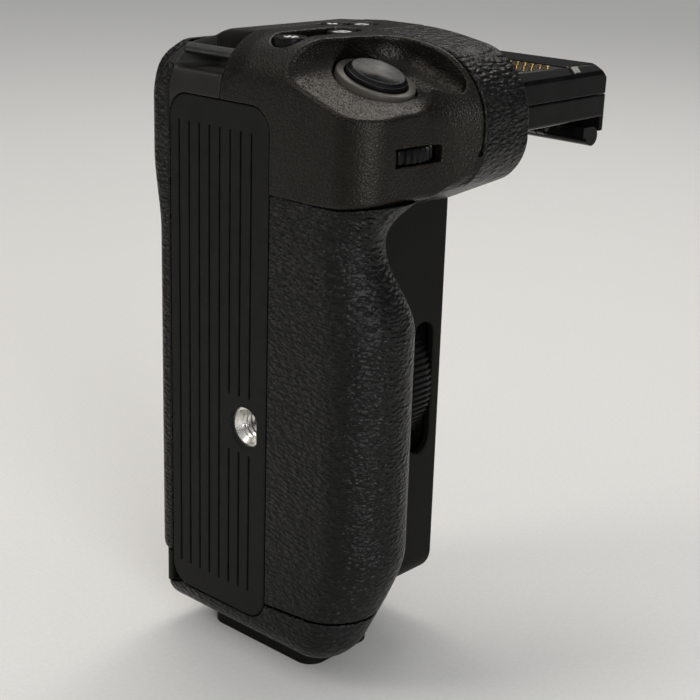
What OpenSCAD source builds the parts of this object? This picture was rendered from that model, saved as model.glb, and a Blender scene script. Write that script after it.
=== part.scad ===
// Battery grip that screws under a camera and adds a second handgrip for upright pictures.
// Origin: camera screw axis where it leaves the deck. +X out of the deck, towards the camera.
// -X is the ribbed base, -Y the handgrip front, +Y the thumb side, +Z the end with the shutter button.

/* [Body] */
// thickness from the deck to the outer face of the base pad
body_t = 44; // [43:0.5:48]
// distance from the screw axis to the flat front face
front_y = 17.8; // [17.6:0.1:18.2]
// distance from the screw axis to the rear face of the body
rear_y = 28.5; // [28:0.5:30]
// height of the shutter end above the screw axis
head_top = 78.6; // [78:0.2:82]
// height of the seam under the head
head_seam = 47.5; // [47:0.25:48.5]

/* [Skins] */
// thickness of the base pad and of the handgrip flap beside it
pad_t = 2.4; // [2:0.1:2.8]
// thickness of the head band
band_t = 1.8; // [1.4:0.1:2.2]
// thickness of the rear skin
skin_t = 1.6; // [1.2:0.1:2]
// pitch of the base pad grooves
groove_pitch = 3.12; // [2.9:0.02:3.2]
// width of one base pad groove
groove_w = 0.8; // [0.5:0.1:1.1]
// depth of one base pad groove
groove_d = 0.6; // [0.4:0.1:0.8]

/* [Handgrip] */
// radius of the handgrip front at its full section
grip_r = 11; // [10:0.25:12]
// how much the radius shrinks at the finger notch
notch_r = 3; // [1.5:0.25:3.25]

/* [Controls] */
// radius of the shutter button cap
shutter_r = 6.3; // [5.5:0.1:6.6]
// press travel of the shutter button
shutter_travel = 1; // [0.6:0.1:1]
// radius of the front and rear dials
dial_r = 11; // [10.5:0.1:11.2]
// teeth on a dial
dial_teeth = 40; // [24:1:44]
// radius of the larger top button
button_r = 3.4; // [2.6:0.1:3.6]
// press travel of the small buttons
button_travel = 0.8; // [0.4:0.1:0.8]

/* [Attaching wheel] */
// radius of the knurled wheel
wheel_r = 18.4; // [18:0.1:18.8]
// width of the wheel
wheel_w = 6; // [5:0.25:6.5]
// teeth of the wheel
wheel_teeth = 84; // [60:2:100]
// radius of the camera screw thread
screw_r = 3.175; // [3:0.005:3.3]
// how far the camera screw stands out of the deck
screw_len = 5.2; // [4.5:0.1:6]

/* [Tower] */
// reach of the contact tower above the deck
tower_h = 41.5; // [40:0.5:50]
// width of the tower from front to rear
tower_w = 38; // [34:0.5:40]

/* [Battery tray] */
// width of one battery pack
pack_w = 36; // [34:0.25:36]
// length of one battery pack
pack_l = 44; // [40:0.2:44]
// thickness of one battery pack
pack_t = 20; // [18:0.25:20]
// room under the lower pack for the latch tongue
latch_room = 5.1; // [4.8:0.1:8]

/* [Fits] */
// gap round sliding pieces
slide_gap = 0.35; // [0.3:0.05:0.4]
// radial gap of turning fits
turn_gap = 0.05; // [0.03:0.01:0.08]
// gap at visible seams
seam_gap = 0.2; // [0.1:0.05:0.3]

/* [Hidden] */
$fn = 64;
eps = 0.02;
far = 200;
wall = 2;
xb = -body_t;
xs = xb + pad_t;
fy = -front_y;
rs = rear_y - skin_t;
zt = head_top;
zh = head_seam;
bay_z1 = zh + 2.9;
divider = 0.8;
pack_z1 = bay_z1 - 2;
pack_z0 = pack_z1 - 2 * pack_l - divider;
foot_t = 5.4;
cap_h = 9.1;
z_seam = pack_z0 - latch_room;
zc = z_seam - cap_h;
zf = zc - foot_t;
z_deck = z_seam - 2.1;
deck_r = 6;
deck_t = 2.4;
split_y = 8;
head_rear = rs + 2;
band_x = -15;
edge_r = 3;
head_edge_r = 10.5;

// bay for the tray, between the ribbed floor and the middle wall
bay_x1 = -13.6;
bay_x0 = bay_x1 - pack_t - 2.2;
bay_y0 = fy + wall;
rear_wall = 2 * wall;
bay_y1 = rs - rear_wall;
mid_t = 1.6;
house_z = bay_z1 + wall;
floor_in = xs + wall;

// base pad outline
pad_y0 = -6.3;
pad_y1 = rs - 3.6;
pad_z0 = z_seam - 3.1;
pad_z1 = zh + 17.5;
pad_r = 5;
groove_n = 8;
groove_y = pad_y1 - 2.9;
groove_z0 = pad_z0 + 5.7;
groove_z1 = pad_z1 - 5.7;
socket_z = -4.4;
window_r = 4.5;
window_flat = -3.65;
bush_r = 5.4;
bush_face = xb + 1;
bush_len = bay_x0 - 0.4 - bush_face;
bush_deep = bush_len - 0.6;

// handgrip section
core_r = 6.4;
core_y = -20.2;
grip_y = -22.8;
taper_z = z_seam + 18.5;
notch_z0 = zh - 27.5;
notch_z1 = zh - 8;
function notch(z) = z < notch_z0 ? 0
  : z < notch_z1 ? 0.5 - 0.5 * cos(180 * (z - notch_z0) / (notch_z1 - notch_z0))
  : 1 - 0.75 * pow((z - notch_z1) / (zh - notch_z1), 2);
function taper(z) = z > taper_z ? 0 : sqrt(pow(0.48 * (taper_z - z), 2) + 9) - 3;
function sec_r(z) = grip_r - notch_r * notch(z) - 0.306 * taper(z);
function sec_y(z) = grip_y + 2.3 * notch(z) + 0.645 * taper(z);

// head outline in the YZ plane
nose_y = -38;
nose_r = 12;
chin_r = 6;
brow = 9.7;
crown_r = 15;
nose_z = zt - 14.1;
chin_z = zh + 8.3;
chin_a = 25;
chin_base_a = 8;
chin_base_z = zh + 7;
function brow_pt(d) = [
  nose_y + nose_r - (nose_r - d) * sin(brow),
  nose_z + (nose_r - d) * cos(brow)
];
function brow_end(d) = brow_pt(d)[0] + (zt - d - brow_pt(d)[1]) / tan(brow);
function chin_pt(d, a, z) = [
  nose_y + chin_r - (chin_r - d) * sin(a),
  z - (chin_r - d) * cos(a)
];
function chin_end(d, a, z) = chin_pt(d, a, z)[1] - (fy - chin_pt(d, a, z)[0]) * tan(a);

// shutter seat: a scoop tilted forward, with a turned rear wall that runs into a round right end
seat = [-28, -19.9, zt - 8.1];
seat_tilt = 20.5;
seat_mid = [2.5, -1.5];
seat_r = 9.5;
seat_turn = 17;
ring_r = 8.3;
ring_in = shutter_r + 0.35;
pot_r = 9;
pot_deep = 8;
switch_top = -4.1 - shutter_travel;

// dials
front_dial = [-29, -22];
front_dial_z = zh + 8.7;
rear_dial = [-20, head_rear + skin_t + 0.5 - dial_r];
rear_dial_z = zh + 10;
dial_w = 2.8;
dial_slot_w = 11.6;
dial_slot_h = 3.4;
axle_r = 1.5;

// top buttons: place and radius as a share of the larger one
buttons = [[-36.4, -4.7, 1], [-21.6, -4.7, 0.9], [-14.6, 4.6, 0.75], [-10, 0.3, 0.8]];
button_gap = 0.25;
button_sink = 0.9;
button_deep = 5.6;
rear_button = [-34, zh + 14];

// wheel
wheel_x = -6.6;
slot_half = 15.5;
slot_w = wheel_w + 1.2;
hub_r = 4;
shank_r = screw_r - 0.275;

// tower
tower_front = -29;
tower_z1 = zt - 8.6;
tower_z0 = zt - 24.6;
notch_z = zt - 21.4;
part_z = zt - 16;
block = [tower_h - 29.5, tower_h - 13.5];
pin_rows = [[tower_h - 18.5, 6, 4.1], [tower_h - 22.9, 4, 5.2]];
pin_pitch = 2;
block_y = [tower_front + 2.2, tower_front + 24];
pin_r = 0.55;
catch_x = tower_h - 10;
catch_z = notch_z - 2.6;
nose_rod_r = 2.2;
lug_w = 2;
knuckle_r = 1.6;
catch_pin_r = 0.8;
lug_y = [tower_front + 9, tower_front + tower_w - 11];

// latch
latch = [bay_x0 + 10.9, (bay_y0 + bay_y1) / 2];
knob_r = 7.4;
shaft_r = 2.5;
tongue_len = 12.3;
tongue_w = 4.6;
tongue_t = 1.8;
tongue_z = z_seam + 0.9;

// strap recess
strap_x = xb + 10.5;
strap_floor = zt - 9.1;
strap_bar_r = 1.2;
strap_bar = [xb + 4.5, zt - 5.2];

// a YZ outline drawn out along X
module along_x(x0, x1) {
  translate([x0, 0, 0]) rotate([90, 0, 90]) linear_extrude(x1 - x0) children();
}

// an XY outline drawn out along Z
module along_z(z0, z1) {
  translate([0, 0, z0]) linear_extrude(z1 - z0) children();
}

// an XZ outline drawn out along Y
module along_y(y0, y1) {
  translate([0, y1, 0]) rotate([90, 0, 0]) linear_extrude(y1 - y0) children();
}

module box(a, b) {
  translate(a) cube(b - a);
}

module rounded(x0, y0, x1, y1, r) {
  translate([x0 + r, y0]) square([x1 - x0 - 2 * r, y1 - y0]);
  translate([x0, y0 + r]) square([x1 - x0, y1 - y0 - 2 * r]);
  for (x = [x0 + r, x1 - r]) {
    for (y = [y0 + r, y1 - r]) {
      translate([x, y]) circle(r);
    }
  }
}

module rod_x(x0, x1, y, z, r) {
  translate([x0, y, z]) rotate([0, 90, 0]) cylinder(r = r, h = x1 - x0);
}

module rod_y(y0, y1, x, z, r) {
  translate([x, y1, z]) rotate([90, 0, 0]) cylinder(r = r, h = y1 - y0);
}

module rod_z(z0, z1, x, y, r) {
  translate([x, y, z0]) cylinder(r = r, h = z1 - z0);
}

// the frame of the tilted shutter seat
module on_seat() {
  translate(seat) rotate([seat_tilt, 0, 0]) children();
}

// YZ outline of the head, shrunk by d; a and z set the slope under the chin
module head_outline(d, a = chin_a, z = chin_z) {
  polygon([
    [head_rear - d, zh],
    [head_rear - d, zt - crown_r],
    [head_rear - crown_r, zt - d],
    [brow_end(d), zt - d],
    brow_pt(d),
    [nose_y + d, nose_z],
    [nose_y + d, z],
    chin_pt(d, a, z),
    [fy, chin_end(d, a, z)],
    [fy, zh]
  ]);
  translate([head_rear - crown_r, zt - crown_r]) circle(crown_r - d);
  translate([nose_y + nose_r, nose_z]) circle(nose_r - d);
  translate([nose_y + chin_r, z]) circle(chin_r - d);
}

// XY outline of the head front, from the base to the deck
module head_plan() {
  polygon([
    [xb, rear_y + 9],
    [xb, -24],
    [xb + 8, -32],
    [-24, -33],
    [band_x, nose_y + 0.3],
    [1, nose_y - 0.5],
    [1, rear_y + 9]
  ]);
  translate([xb + 8, -24]) circle(8);
}

// XZ outline of the head, with the large rounding between the base and the top
module head_end() {
  difference() {
    translate([xb, zh]) square([body_t + 1, zt + 1 - zh]);
    translate([xb, zt]) square([body_t + 1, 2]);
    corner_waste(xb, zt, 1, -1, head_edge_r);
  }
}

// what a rounding of radius r takes off a corner whose material lies towards dx, dy
module corner_waste(x, y, dx, dy, r) {
  translate([x, y]) mirror([dx < 0 ? 1 : 0, 0]) mirror([0, dy < 0 ? 1 : 0]) difference() {
    translate([-1, -1]) square(r + 1);
    translate([r, r]) circle(r);
  }
}

// XY outline that rounds the rear edge of the base
module rear_plan(y) {
  difference() {
    translate([xb, -far]) square([body_t, y + far]);
    corner_waste(xb, y, 1, -1, edge_r);
  }
}

// outline of the base pad, shrunk by d
module pad_outline(d) {
  rounded(pad_y0 + d, pad_z0 + d, pad_y1 - d, pad_z1 - d, pad_r - d);
}

module pad_recess() {
  along_x(xb - 1, xs) pad_outline(-seam_gap);
}

// closed skin through rings of points that all have the same count
module loft(rings) {
  n = len(rings[0]);
  m = len(rings);
  pts = [for (r = rings) each r];
  sides = [
    for (k = [0:m - 2]) for (i = [0:n - 1])
      each [
        [k * n + i, (k + 1) * n + i, (k + 1) * n + (i + 1) % n],
        [k * n + i, (k + 1) * n + (i + 1) % n, k * n + (i + 1) % n]
      ]
  ];
  low = [for (i = [0:n - 1]) i];
  high = [for (i = [n - 1:-1:0]) (m - 1) * n + i];
  polyhedron(points = pts, faces = concat(sides, [low, high]), convexity = 4);
}

// one handgrip ring: flap at the base, round front, back to the flat face
function grip_ring(z) = let (r = sec_r(z), y = sec_y(z)) concat(
  [[xs + 0.4, pad_y0 - seam_gap, z], [xb, pad_y0 - seam_gap, z]],
  [for (i = [0:20]) [xb + r - r * cos(9 * i), y - r * sin(9 * i), z]],
  [[xb + 2 * r, fy + 1, z], [xs + 0.4, fy + 1, z]]
);

module grip_core(d) {
  along_z(z_seam + 8 + d, zh) {
    translate([xs + core_r, core_y]) circle(core_r - d);
    translate([xs + d, core_y]) square([2 * core_r - 2 * d, fy - core_y + eps]);
  }
}

module capsule_yz_slot(x0, x1, z0, z1) {
  rounded(x0, z0, x1, z1, (x1 - x0) / 2 - eps);
}

deck_boss = [[-11, z_seam + 8], [17, z_seam + 8], [-11, zh - 7.5], [17, zh - 7.5]];
boss_r = 3;
deck_screw_r = 1.25;
deck_head_r = 2.5;

module body_shell() {
  color([0.06, 0.06, 0.065])
  difference() {
    union() {
      box([xs, fy, z_seam], [bay_x1 - 0.4, rs, zh]);
      box([bay_x1 - 0.4, fy, z_deck + 2 * deck_r], [0, rs, zh]);
      along_x(bay_x1 - 0.4, 0) rounded(fy, z_deck, rs, z_deck + 30, deck_r);
      box([xs, fy, zh - 1], [bay_x1 + mid_t, rs, house_z]);
      box([-34, -26, house_z - 1.8], [-25, fy + 1, house_z]);
      grip_core(0);
    }
    box([bay_x0, bay_y0, z_deck - far], [bay_x1, bay_y1, bay_z1]);
    difference() {
      box([bay_x1 + mid_t, bay_y0, z_seam], [far, bay_y1, zh - wall]);
      for (b = deck_boss) {
        rod_x(bay_x1, -deck_t, b[0], b[1], boss_r);
      }
    }
    box([-deck_t, bay_y0, zh - 5], [far, bay_y1, zh + 1]);
    translate([0, 0, wall]) grip_core(wall);
    along_y(fy - 3, fy + wall + 1)
      capsule_yz_slot(wheel_x - slot_w / 2, wheel_x + slot_w / 2, -slot_half, slot_half);
    rod_x(bay_x1 - 1, bay_x1 + mid_t + 1, 0, 0, hub_r + turn_gap);
    box([bay_x1 - 1, latch[1] - 4, tongue_z - 0.5], [bay_x1 + mid_t + 1, latch[1] + 11, tongue_z + tongue_t + 0.5]);
    rod_x(xs - 1, bay_x0 + 1, 0, socket_z, bush_r + turn_gap);
    for (z = [-38, -22, 14, 30]) {
      box([floor_in, bay_y0 + 2, z_seam + 40 + z], [bay_x0 + 1, bay_y1 - 2, z_seam + 54 + z]);
    }
    for (b = deck_boss) {
      rod_x(bay_x1 + mid_t, 1, b[0], b[1], deck_screw_r + turn_gap);
    }
  }
}

module head_cavity() {
  box([xs, -24, zh - 4], [1, split_y + 1, zt - 15.2]);
  box([-38, -29.3, zh + 1.8], [band_x, -23.9, zt - 15.8]);
  along_x(band_x + wall, 1) head_outline(band_t + 2.2);
  box([strap_x + wall, -7, zt - 16], [band_x, split_y + 1, zt - 2.8]);
}

module strap_cut() {
  along_x(xb - 1, strap_x) polygon([
    [22, strap_floor],
    [split_y + seam_gap, strap_floor],
    [split_y + seam_gap, zt + 1],
    [22, zt + 1]
  ]);
}

module seat_cut() {
  touch = seat_mid + (seat_r - 0.15) * [sin(seat_turn), cos(seat_turn)];
  on_seat() linear_extrude(40) {
    polygon([
      seat_mid, touch, touch + 60 * [-cos(seat_turn), sin(seat_turn)],
      [-60, -60], [seat_mid[0], -60]
    ]);
    translate(seat_mid) circle(seat_r);
  }
}

module head_shell() {
  color([0.09, 0.09, 0.09])
  difference() {
    union() {
      difference() {
        union() {
          intersection() {
            along_x(xb, band_x) head_outline(0, chin_base_a, chin_base_z);
            along_z(zh, zt + 1) head_plan();
            along_y(-60, 60) head_end();
          }
          along_x(band_x, 0) head_outline(band_t);
          intersection() {
            along_x(band_x, 0) head_outline(0);
            box([band_x, -9, zh], [0, split_y, zt + 1]);
          }
        }
        head_cavity();
        seat_cut();
      }
      intersection() {
        on_seat() translate([0, 0, -pot_deep]) cylinder(r = pot_r, h = pot_deep);
        box([xs, -29, zh], [band_x, split_y, zt]);
      }
    }
    box([-far, split_y, 0], [far, far, far]);
    pad_recess();
    strap_cut();
    rod_y(split_y - 6, split_y + 1, strap_bar[0], strap_bar[1], strap_bar_r);
    on_seat() translate([0, 0, switch_top - 1.2]) cylinder(r = ring_in, h = 20);
    on_seat() translate([0, 0, -1.2]) cylinder(r = ring_r + turn_gap, h = 20);
    along_y(-60, -24) rounded(
      front_dial[0] - dial_slot_w / 2, front_dial_z - 0.3,
      front_dial[0] + dial_slot_w / 2, front_dial_z + dial_slot_h - 0.3, 0.6
    );
    rod_z(front_dial_z - 0.4, front_dial_z + dial_w + 0.4, front_dial[0], front_dial[1], dial_r + 0.5);
    for (b = buttons) {
      rod_z(zt - button_deep, zt + 1, b[0], b[1], b[2] * button_r + button_gap);
      translate([b[0], b[1], zt + 9.2]) sphere(r = 9.2 + 0.9 * b[2]);
    }
  }
}

module rear_shell() {
  color([0.05, 0.05, 0.055])
  difference() {
    intersection() {
      along_x(xb, 0) head_outline(0);
      along_z(zh, zt + 1) rear_plan(head_rear);
      along_y(-60, 60) head_end();
      box([xb, split_y + seam_gap, zh], [0, far, zt + 1]);
    }
    box([xs, split_y - 1, zh - 1], [bay_x1 + mid_t, rs, strap_floor - 3]);
    box([bay_x1, split_y - 1, zh - 1], [1, bay_y1, strap_floor - 3]);
    box([strap_x + wall, split_y - 1, strap_floor - 4], [1, 16, zt - 4.6]);
    along_x(-deck_t, 1) head_outline(band_t + 2.2);
    pad_recess();
    strap_cut();
    rod_z(rear_dial_z - 0.4, rear_dial_z + dial_w + 0.4, rear_dial[0], rear_dial[1], dial_r + 0.5);
    rod_y(10, 60, rear_button[0], rear_button[1], button_r + button_gap);
  }
}

module base_pad() {
  color([0.05, 0.05, 0.05])
  difference() {
    along_x(xb, xs) pad_outline(0);
    for (i = [0:groove_n - 1]) {
      y = groove_y - i * groove_pitch;
      split = y < window_r + 1;
      spans = split
        ? [[groove_z0, socket_z - 6], [socket_z + 6.6, groove_z1]]
        : [[groove_z0, groove_z1]];
      for (s = spans) {
        along_x(xb - 1, xb + groove_d)
          rounded(y - groove_w / 2, s[0], y + groove_w / 2, s[1], groove_w / 2 - eps);
      }
    }
    along_x(xb - 1, xs) intersection() {
      translate([0, socket_z]) circle(window_r);
      translate([window_flat, socket_z - 10]) square([20, 20]);
    }
    rod_x(bush_face, xs + 1, 0, socket_z, bush_r + turn_gap);
  }
}

module handgrip_skin() {
  color([0.045, 0.045, 0.045])
  difference() {
    loft([for (i = [0:30]) grip_ring(z_seam + seam_gap + i * (zh - z_seam - 2 * seam_gap) / 30)]);
    box([xs, fy, z_seam - 1], [0, 0, zh + 1]);
    grip_core(0);
  }
}

module head_band() {
  color([0.045, 0.045, 0.045])
  difference() {
    along_x(band_x + seam_gap, 0) head_outline(0);
    along_x(band_x, 1) head_outline(band_t);
    box([band_x - 1, -9 - seam_gap, zh - 10], [1, far, far]);
    box([band_x - 1, fy, 0], [1, far, zh]);
  }
}

module rear_skin() {
  color([0.045, 0.045, 0.045])
  difference() {
    intersection() {
      along_z(z_seam + 4, zt - 3.5) rear_plan(head_rear + skin_t);
      along_y(-60, 60) {
        head_end();
        translate([xb, z_seam]) square([body_t, zh - z_seam + eps]);
      }
      along_x(xb, -3) union() {
        polygon([
          [0, z_seam + 4], [rear_y - 1, z_seam + 4], [rear_y, z_seam + 6],
          [rear_y, zh - 14], [head_rear + skin_t, zh + 4], [0, zh + 4]
        ]);
        head_outline(-skin_t);
      }
      box([xb, pad_y1 + seam_gap + eps, z_seam], [0, far, far]);
    }
    box([xs, fy, z_seam - 1], [1, rs, zh + eps]);
    box([xs, fy, zh], [1, head_rear, far]);
    intersection() {
      along_x(xb - 1, 1) head_outline(0);
      along_z(zh, far) rear_plan(head_rear);
    }
    along_y(20, 60) rounded(
      rear_dial[0] - dial_slot_w / 2, rear_dial_z - 0.3,
      rear_dial[0] + dial_slot_w / 2, rear_dial_z + dial_slot_h - 0.3, 0.6
    );
    rod_z(rear_dial_z - 0.4, rear_dial_z + dial_w + 0.4, rear_dial[0], rear_dial[1], dial_r + 0.5);
    rod_y(10, 60, rear_button[0], rear_button[1], button_r + button_gap);
  }
}

module tripod_bushing() {
  color([0.62, 0.61, 0.58])
  difference() {
    rod_x(bush_face, bush_face + bush_len, 0, socket_z, bush_r);
    rod_x(bush_face - 1, bush_face + bush_deep, 0, socket_z, screw_r);
    translate([bush_face - eps, 0, socket_z]) rotate([0, 90, 0])
      cylinder(r1 = screw_r + 0.7, r2 = screw_r, h = 0.7);
  }
}

module deck_plate() {
  color([0.07, 0.07, 0.075])
  difference() {
    along_x(-deck_t, 0) {
      translate([bay_y0 + 0.1, z_seam + 0.1]) square([bay_y1 - bay_y0 - 0.2, zh + 4 - z_seam]);
      head_outline(band_t + 2.3);
    }
    rod_x(-deck_t - 1, 1, 0, 0, screw_r + 0.5);
    for (b = deck_boss) {
      rod_x(-deck_t - 1, 1, b[0], b[1], deck_screw_r + turn_gap);
      rod_x(-1.4, 1, b[0], b[1], deck_head_r + turn_gap);
    }
    for (z = [-24, 30]) {
      rod_x(-deck_t - 1, 1, 8, z, 1.5);
    }
  }
}

module deck_screws() {
  color([0.35, 0.35, 0.36])
  for (b = deck_boss) {
    difference() {
      union() {
        rod_x(-8, -1.4, b[0], b[1], deck_screw_r);
        rod_x(-1.4, -0.1, b[0], b[1], deck_head_r);
      }
      translate([-0.9, b[0] - 1.6, b[1] - 0.3]) cube([2, 3.2, 0.6]);
      translate([-0.9, b[0] - 0.3, b[1] - 1.6]) cube([2, 0.6, 3.2]);
    }
  }
}

module deck_gasket() {
  color([0.03, 0.03, 0.03])
  along_x(0, 0.8) difference() {
    rounded(tower_front - 2, tower_z0 - 2, tower_front + tower_w + 2, tower_z1 + 2, 2);
    rounded(tower_front, tower_z0, tower_front + tower_w, tower_z1, 0.4);
  }
}

module locating_pins() {
  color([0.7, 0.69, 0.66])
  for (z = [-24, 30]) {
    rod_x(-deck_t, 1.8, 8, z, 1.5);
    translate([1.8, 8, z]) rotate([0, 90, 0]) cylinder(r1 = 1.5, r2 = 1, h = 0.5);
  }
}

// side outline of the contact tower
module tower_side() {
  polygon([
    [0, tower_z0], [0, tower_z1], [tower_h - 3, tower_z1 - 0.6], [tower_h, tower_z1 - 3.6],
    [tower_h - 0.2, tower_z0], [tower_h - 1.4, tower_z0], [tower_h - 1.4, notch_z],
    [block[0], notch_z], [block[0], tower_z0]
  ]);
}

module tower_solid() {
  y1 = tower_front + tower_w;
  difference() {
    along_y(tower_front, y1) tower_side();
    box([-1, tower_front + wall, notch_z + wall], [tower_h - wall - 1, y1 - wall, tower_z1 - 2.2]);
    translate([-1, tower_front, tower_z1]) rotate([45, 0, 0]) translate([0, -1.7, -1.7]) cube([far, 3.4, 3.4]);
  }
}

module tower_shell() {
  color([0.02, 0.02, 0.022]) {
    intersection() {
      tower_solid();
      box([-1, -far, 0], [far, far, part_z - seam_gap / 2]);
    }
    difference() {
      for (y = lug_y) {
        box([catch_x - knuckle_r, y, catch_z - knuckle_r], [catch_x + knuckle_r, y + lug_w, notch_z + eps]);
      }
      rod_y(-60, 60, catch_x, catch_z, catch_pin_r);
    }
  }
}

module tower_cover() {
  color([0.02, 0.02, 0.022])
  difference() {
    intersection() {
      tower_solid();
      box([-1, -far, part_z - seam_gap / 2], [far, far, far]);
    }
    box([block[0], block_y[0], tower_z1 - 2.3], [block[1], block_y[1], tower_z1 + 1]);
    clip_solid();
  }
}

module contact_block() {
  color([0.03, 0.03, 0.03])
  box([block[0] + 0.1, block_y[0] + 0.1, tower_z1 - 5], [block[1] - 0.1, block_y[1] - 0.1, tower_z1 - 0.9]);
}

module contact_pins() {
  color([0.85, 0.62, 0.25])
  for (row = pin_rows) {
    for (i = [0:row[1] - 1]) {
      rod_z(tower_z1 - 0.9, tower_z1 - 0.1, row[0], tower_front + row[2] + pin_pitch * i, pin_r);
    }
  }
}

module clip_solid() {
  translate([catch_x - 3.5, tower_front + 1.1, tower_z1 - 1.5]) rotate([45, 0, 0]) translate([0, -0.8, -0.6])
    cube([2.4, 1.6, 1.2]);
}

module tower_clip() {
  color([0.6, 0.6, 0.62]) clip_solid();
}

module tower_catch() {
  y0 = lug_y[0] + lug_w + 0.3;
  y1 = lug_y[1] - 0.3;
  color([0.02, 0.02, 0.022])
  difference() {
    union() {
      rod_y(y0, y1, catch_x, catch_z, knuckle_r);
      box([catch_x, y0, catch_z - 0.8], [catch_x + 3, y1, catch_z + 0.8]);
      box([catch_x + 2.4, tower_front + 0.4, catch_z - 1.6], [catch_x + 6, tower_front + tower_w - 0.4, catch_z + 0.8]);
      rod_y(tower_front + 0.4, tower_front + tower_w - 0.4, catch_x + 5.8, catch_z - 1.4, nose_rod_r);
    }
    rod_y(-60, 60, catch_x, catch_z, catch_pin_r + turn_gap);
  }
}

module catch_pin() {
  color([0.7, 0.7, 0.7])
  rod_y(lug_y[0] - 0.2, lug_y[1] + lug_w + 0.2, catch_x, catch_z, catch_pin_r);
}

module strap_bar() {
  color([0.3, 0.3, 0.31])
  rod_y(split_y - 6, 22, strap_bar[0], strap_bar[1], strap_bar_r);
}

module chassis_plate() {
  x0 = bay_x1 + mid_t;
  color([0.55, 0.56, 0.58])
  difference() {
    box([x0, bay_y0 + 0.3, z_seam + 3], [x0 + 1, bay_y1 - 0.3, zh - wall - 0.3]);
    rod_x(x0 - 1, x0 + 2, 0, 0, hub_r + turn_gap);
    box([x0 - 1, latch[1] - 4, z_seam], [x0 + 2, latch[1] + 11, tongue_z + tongue_t + 0.5]);
    for (b = deck_boss) {
      rod_x(x0 - 1, x0 + 2, b[0], b[1], boss_r + turn_gap);
    }
  }
}

module circuit_board() {
  x0 = bay_x1 + mid_t + 1;
  color([0.05, 0.2, 0.1]) {
    for (y = [bay_y0 + 4, bay_y1 - 9]) {
      box([x0, y, 24], [x0 + 1.2, y + 3, 30]);
    }
    box([x0 + 1.2, bay_y0 + 2, 21], [x0 + 2.6, bay_y1 - 4, zh - 12]);
    box([x0 + 2.6, 4, 23], [x0 + 4, 14, 32]);
    box([x0 + 2.6, -10, 24], [x0 + 3.8, -3, 31]);
  }
}

module head_cable() {
  x0 = bay_x1 + mid_t;
  color([0.65, 0.35, 0.1])
  box([x0, split_y - 16, zh], [x0 + 0.4, split_y - 6, house_z + 4]);
}

module bay_contact_block() {
  color([0.03, 0.03, 0.03])
  box([bay_x0 + 5, -8, house_z], [bay_x1 - 5, 16, house_z + 2.5]);
}

module bay_contact_fingers() {
  color([0.85, 0.62, 0.25])
  for (y = [-5, 0, 5, 10]) {
    box([bay_x0 + 8, y, bay_z1 - 0.15], [bay_x0 + 14, y + 2, bay_z1]);
  }
}

function knurl(n, r, deep) = [
  for (i = [0:n - 1]) for (k = [0:3])
    let (a = 360 * (i + [0.02, 0.38, 0.56, 0.84][k]) / n, q = k < 2 ? r : r - deep)
      [q * cos(a), q * sin(a)]
];

module attaching_wheel() {
  color([0.05, 0.05, 0.05])
  difference() {
    union() {
      along_x(wheel_x - wheel_w / 2, wheel_x + wheel_w / 2) polygon(knurl(wheel_teeth, wheel_r, 0.45));
      rod_x(bay_x1 + 0.2, wheel_x, 0, 0, hub_r);
    }
    rod_x(wheel_x, 1, 0, 0, shank_r);
    difference() {
      rod_x(wheel_x + 1, 1, 0, 0, wheel_r - 4);
      rod_x(wheel_x, 1, 0, 0, 6);
    }
  }
}

module camera_screw() {
  color([0.7, 0.69, 0.66]) {
    rod_x(wheel_x, 0, 0, 0, shank_r);
    rod_x(0, screw_len - 0.8, 0, 0, screw_r);
    translate([screw_len - 0.8, 0, 0]) rotate([0, 90, 0]) cylinder(r1 = screw_r, r2 = screw_r - 0.8, h = 0.8);
  }
}

tray_x0 = bay_x0 + slide_gap;
tray_y0 = latch[1] - pack_w / 2 - 1;
tray_y1 = latch[1] + pack_w / 2 + 1;
pack_x0 = tray_x0 + 1.2;
tray_z1 = pack_z1 + 1.4;

module battery_tray() {
  x1 = bay_x1 - slide_gap;
  color([0.07, 0.07, 0.07]) {
    box([tray_x0, tray_y0, z_seam - seam_gap], [pack_x0, tray_y1, tray_z1]);
    for (y = [tray_y0, tray_y1 - 1]) {
      box([tray_x0, y, z_seam - seam_gap], [tray_x0 + 8, y + 1, tray_z1]);
    }
    box([tray_x0, tray_y0, pack_z1], [x1, tray_y1, tray_z1]);
    box([tray_x0, tray_y0, pack_z1 - pack_l - divider], [tray_x0 + 12, tray_y1, pack_z1 - pack_l]);
    box([tray_x0, tray_y0, pack_z0 - 1], [x1, tray_y1, pack_z0]);
  }
}

module pack(z0) {
  y0 = latch[1] - pack_w / 2;
  along_z(z0, z0 + pack_l) rounded(pack_x0, y0, pack_x0 + pack_t - 0.25, y0 + pack_w, 2);
}

module battery_upper() {
  color([0.12, 0.12, 0.13]) pack(pack_z1 - pack_l);
}

module battery_lower() {
  color([0.12, 0.12, 0.13]) pack(pack_z0);
}

module tray_contacts() {
  color([0.85, 0.62, 0.25])
  for (y = [-5, 0, 5, 10]) {
    box([bay_x0 + 8, y, tray_z1], [bay_x0 + 14, y + 2, tray_z1 + 0.1]);
  }
}

cap_x = bay_x1 - 0.4;
cap_r = sec_r(z_seam);
cap_y = sec_y(z_seam);
cap_edge = 6;
cap_heel = 7;

// XY outline of the end cap behind its round front
module cap_plan() {
  polygon([
    [xb, rs], [xb, cap_y], [xb + 2 * cap_r, cap_y], [xb + 2 * cap_r, -14],
    [xb + 2 * cap_r + 4, -9], [cap_x, -8], [cap_x, rs]
  ]);
}

// YZ outline of the end cap, with its rounded heel
module cap_side() {
  difference() {
    translate([cap_y, zc]) square([rs - cap_y, cap_h - seam_gap]);
    corner_waste(rs, zc, -1, 1, cap_heel);
  }
}

// XZ outline of the end cap
module cap_end() {
  difference() {
    translate([xb, zc]) square([cap_x - xb, cap_h - seam_gap]);
    corner_waste(xb, zc, 1, 1, cap_edge);
  }
}

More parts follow.
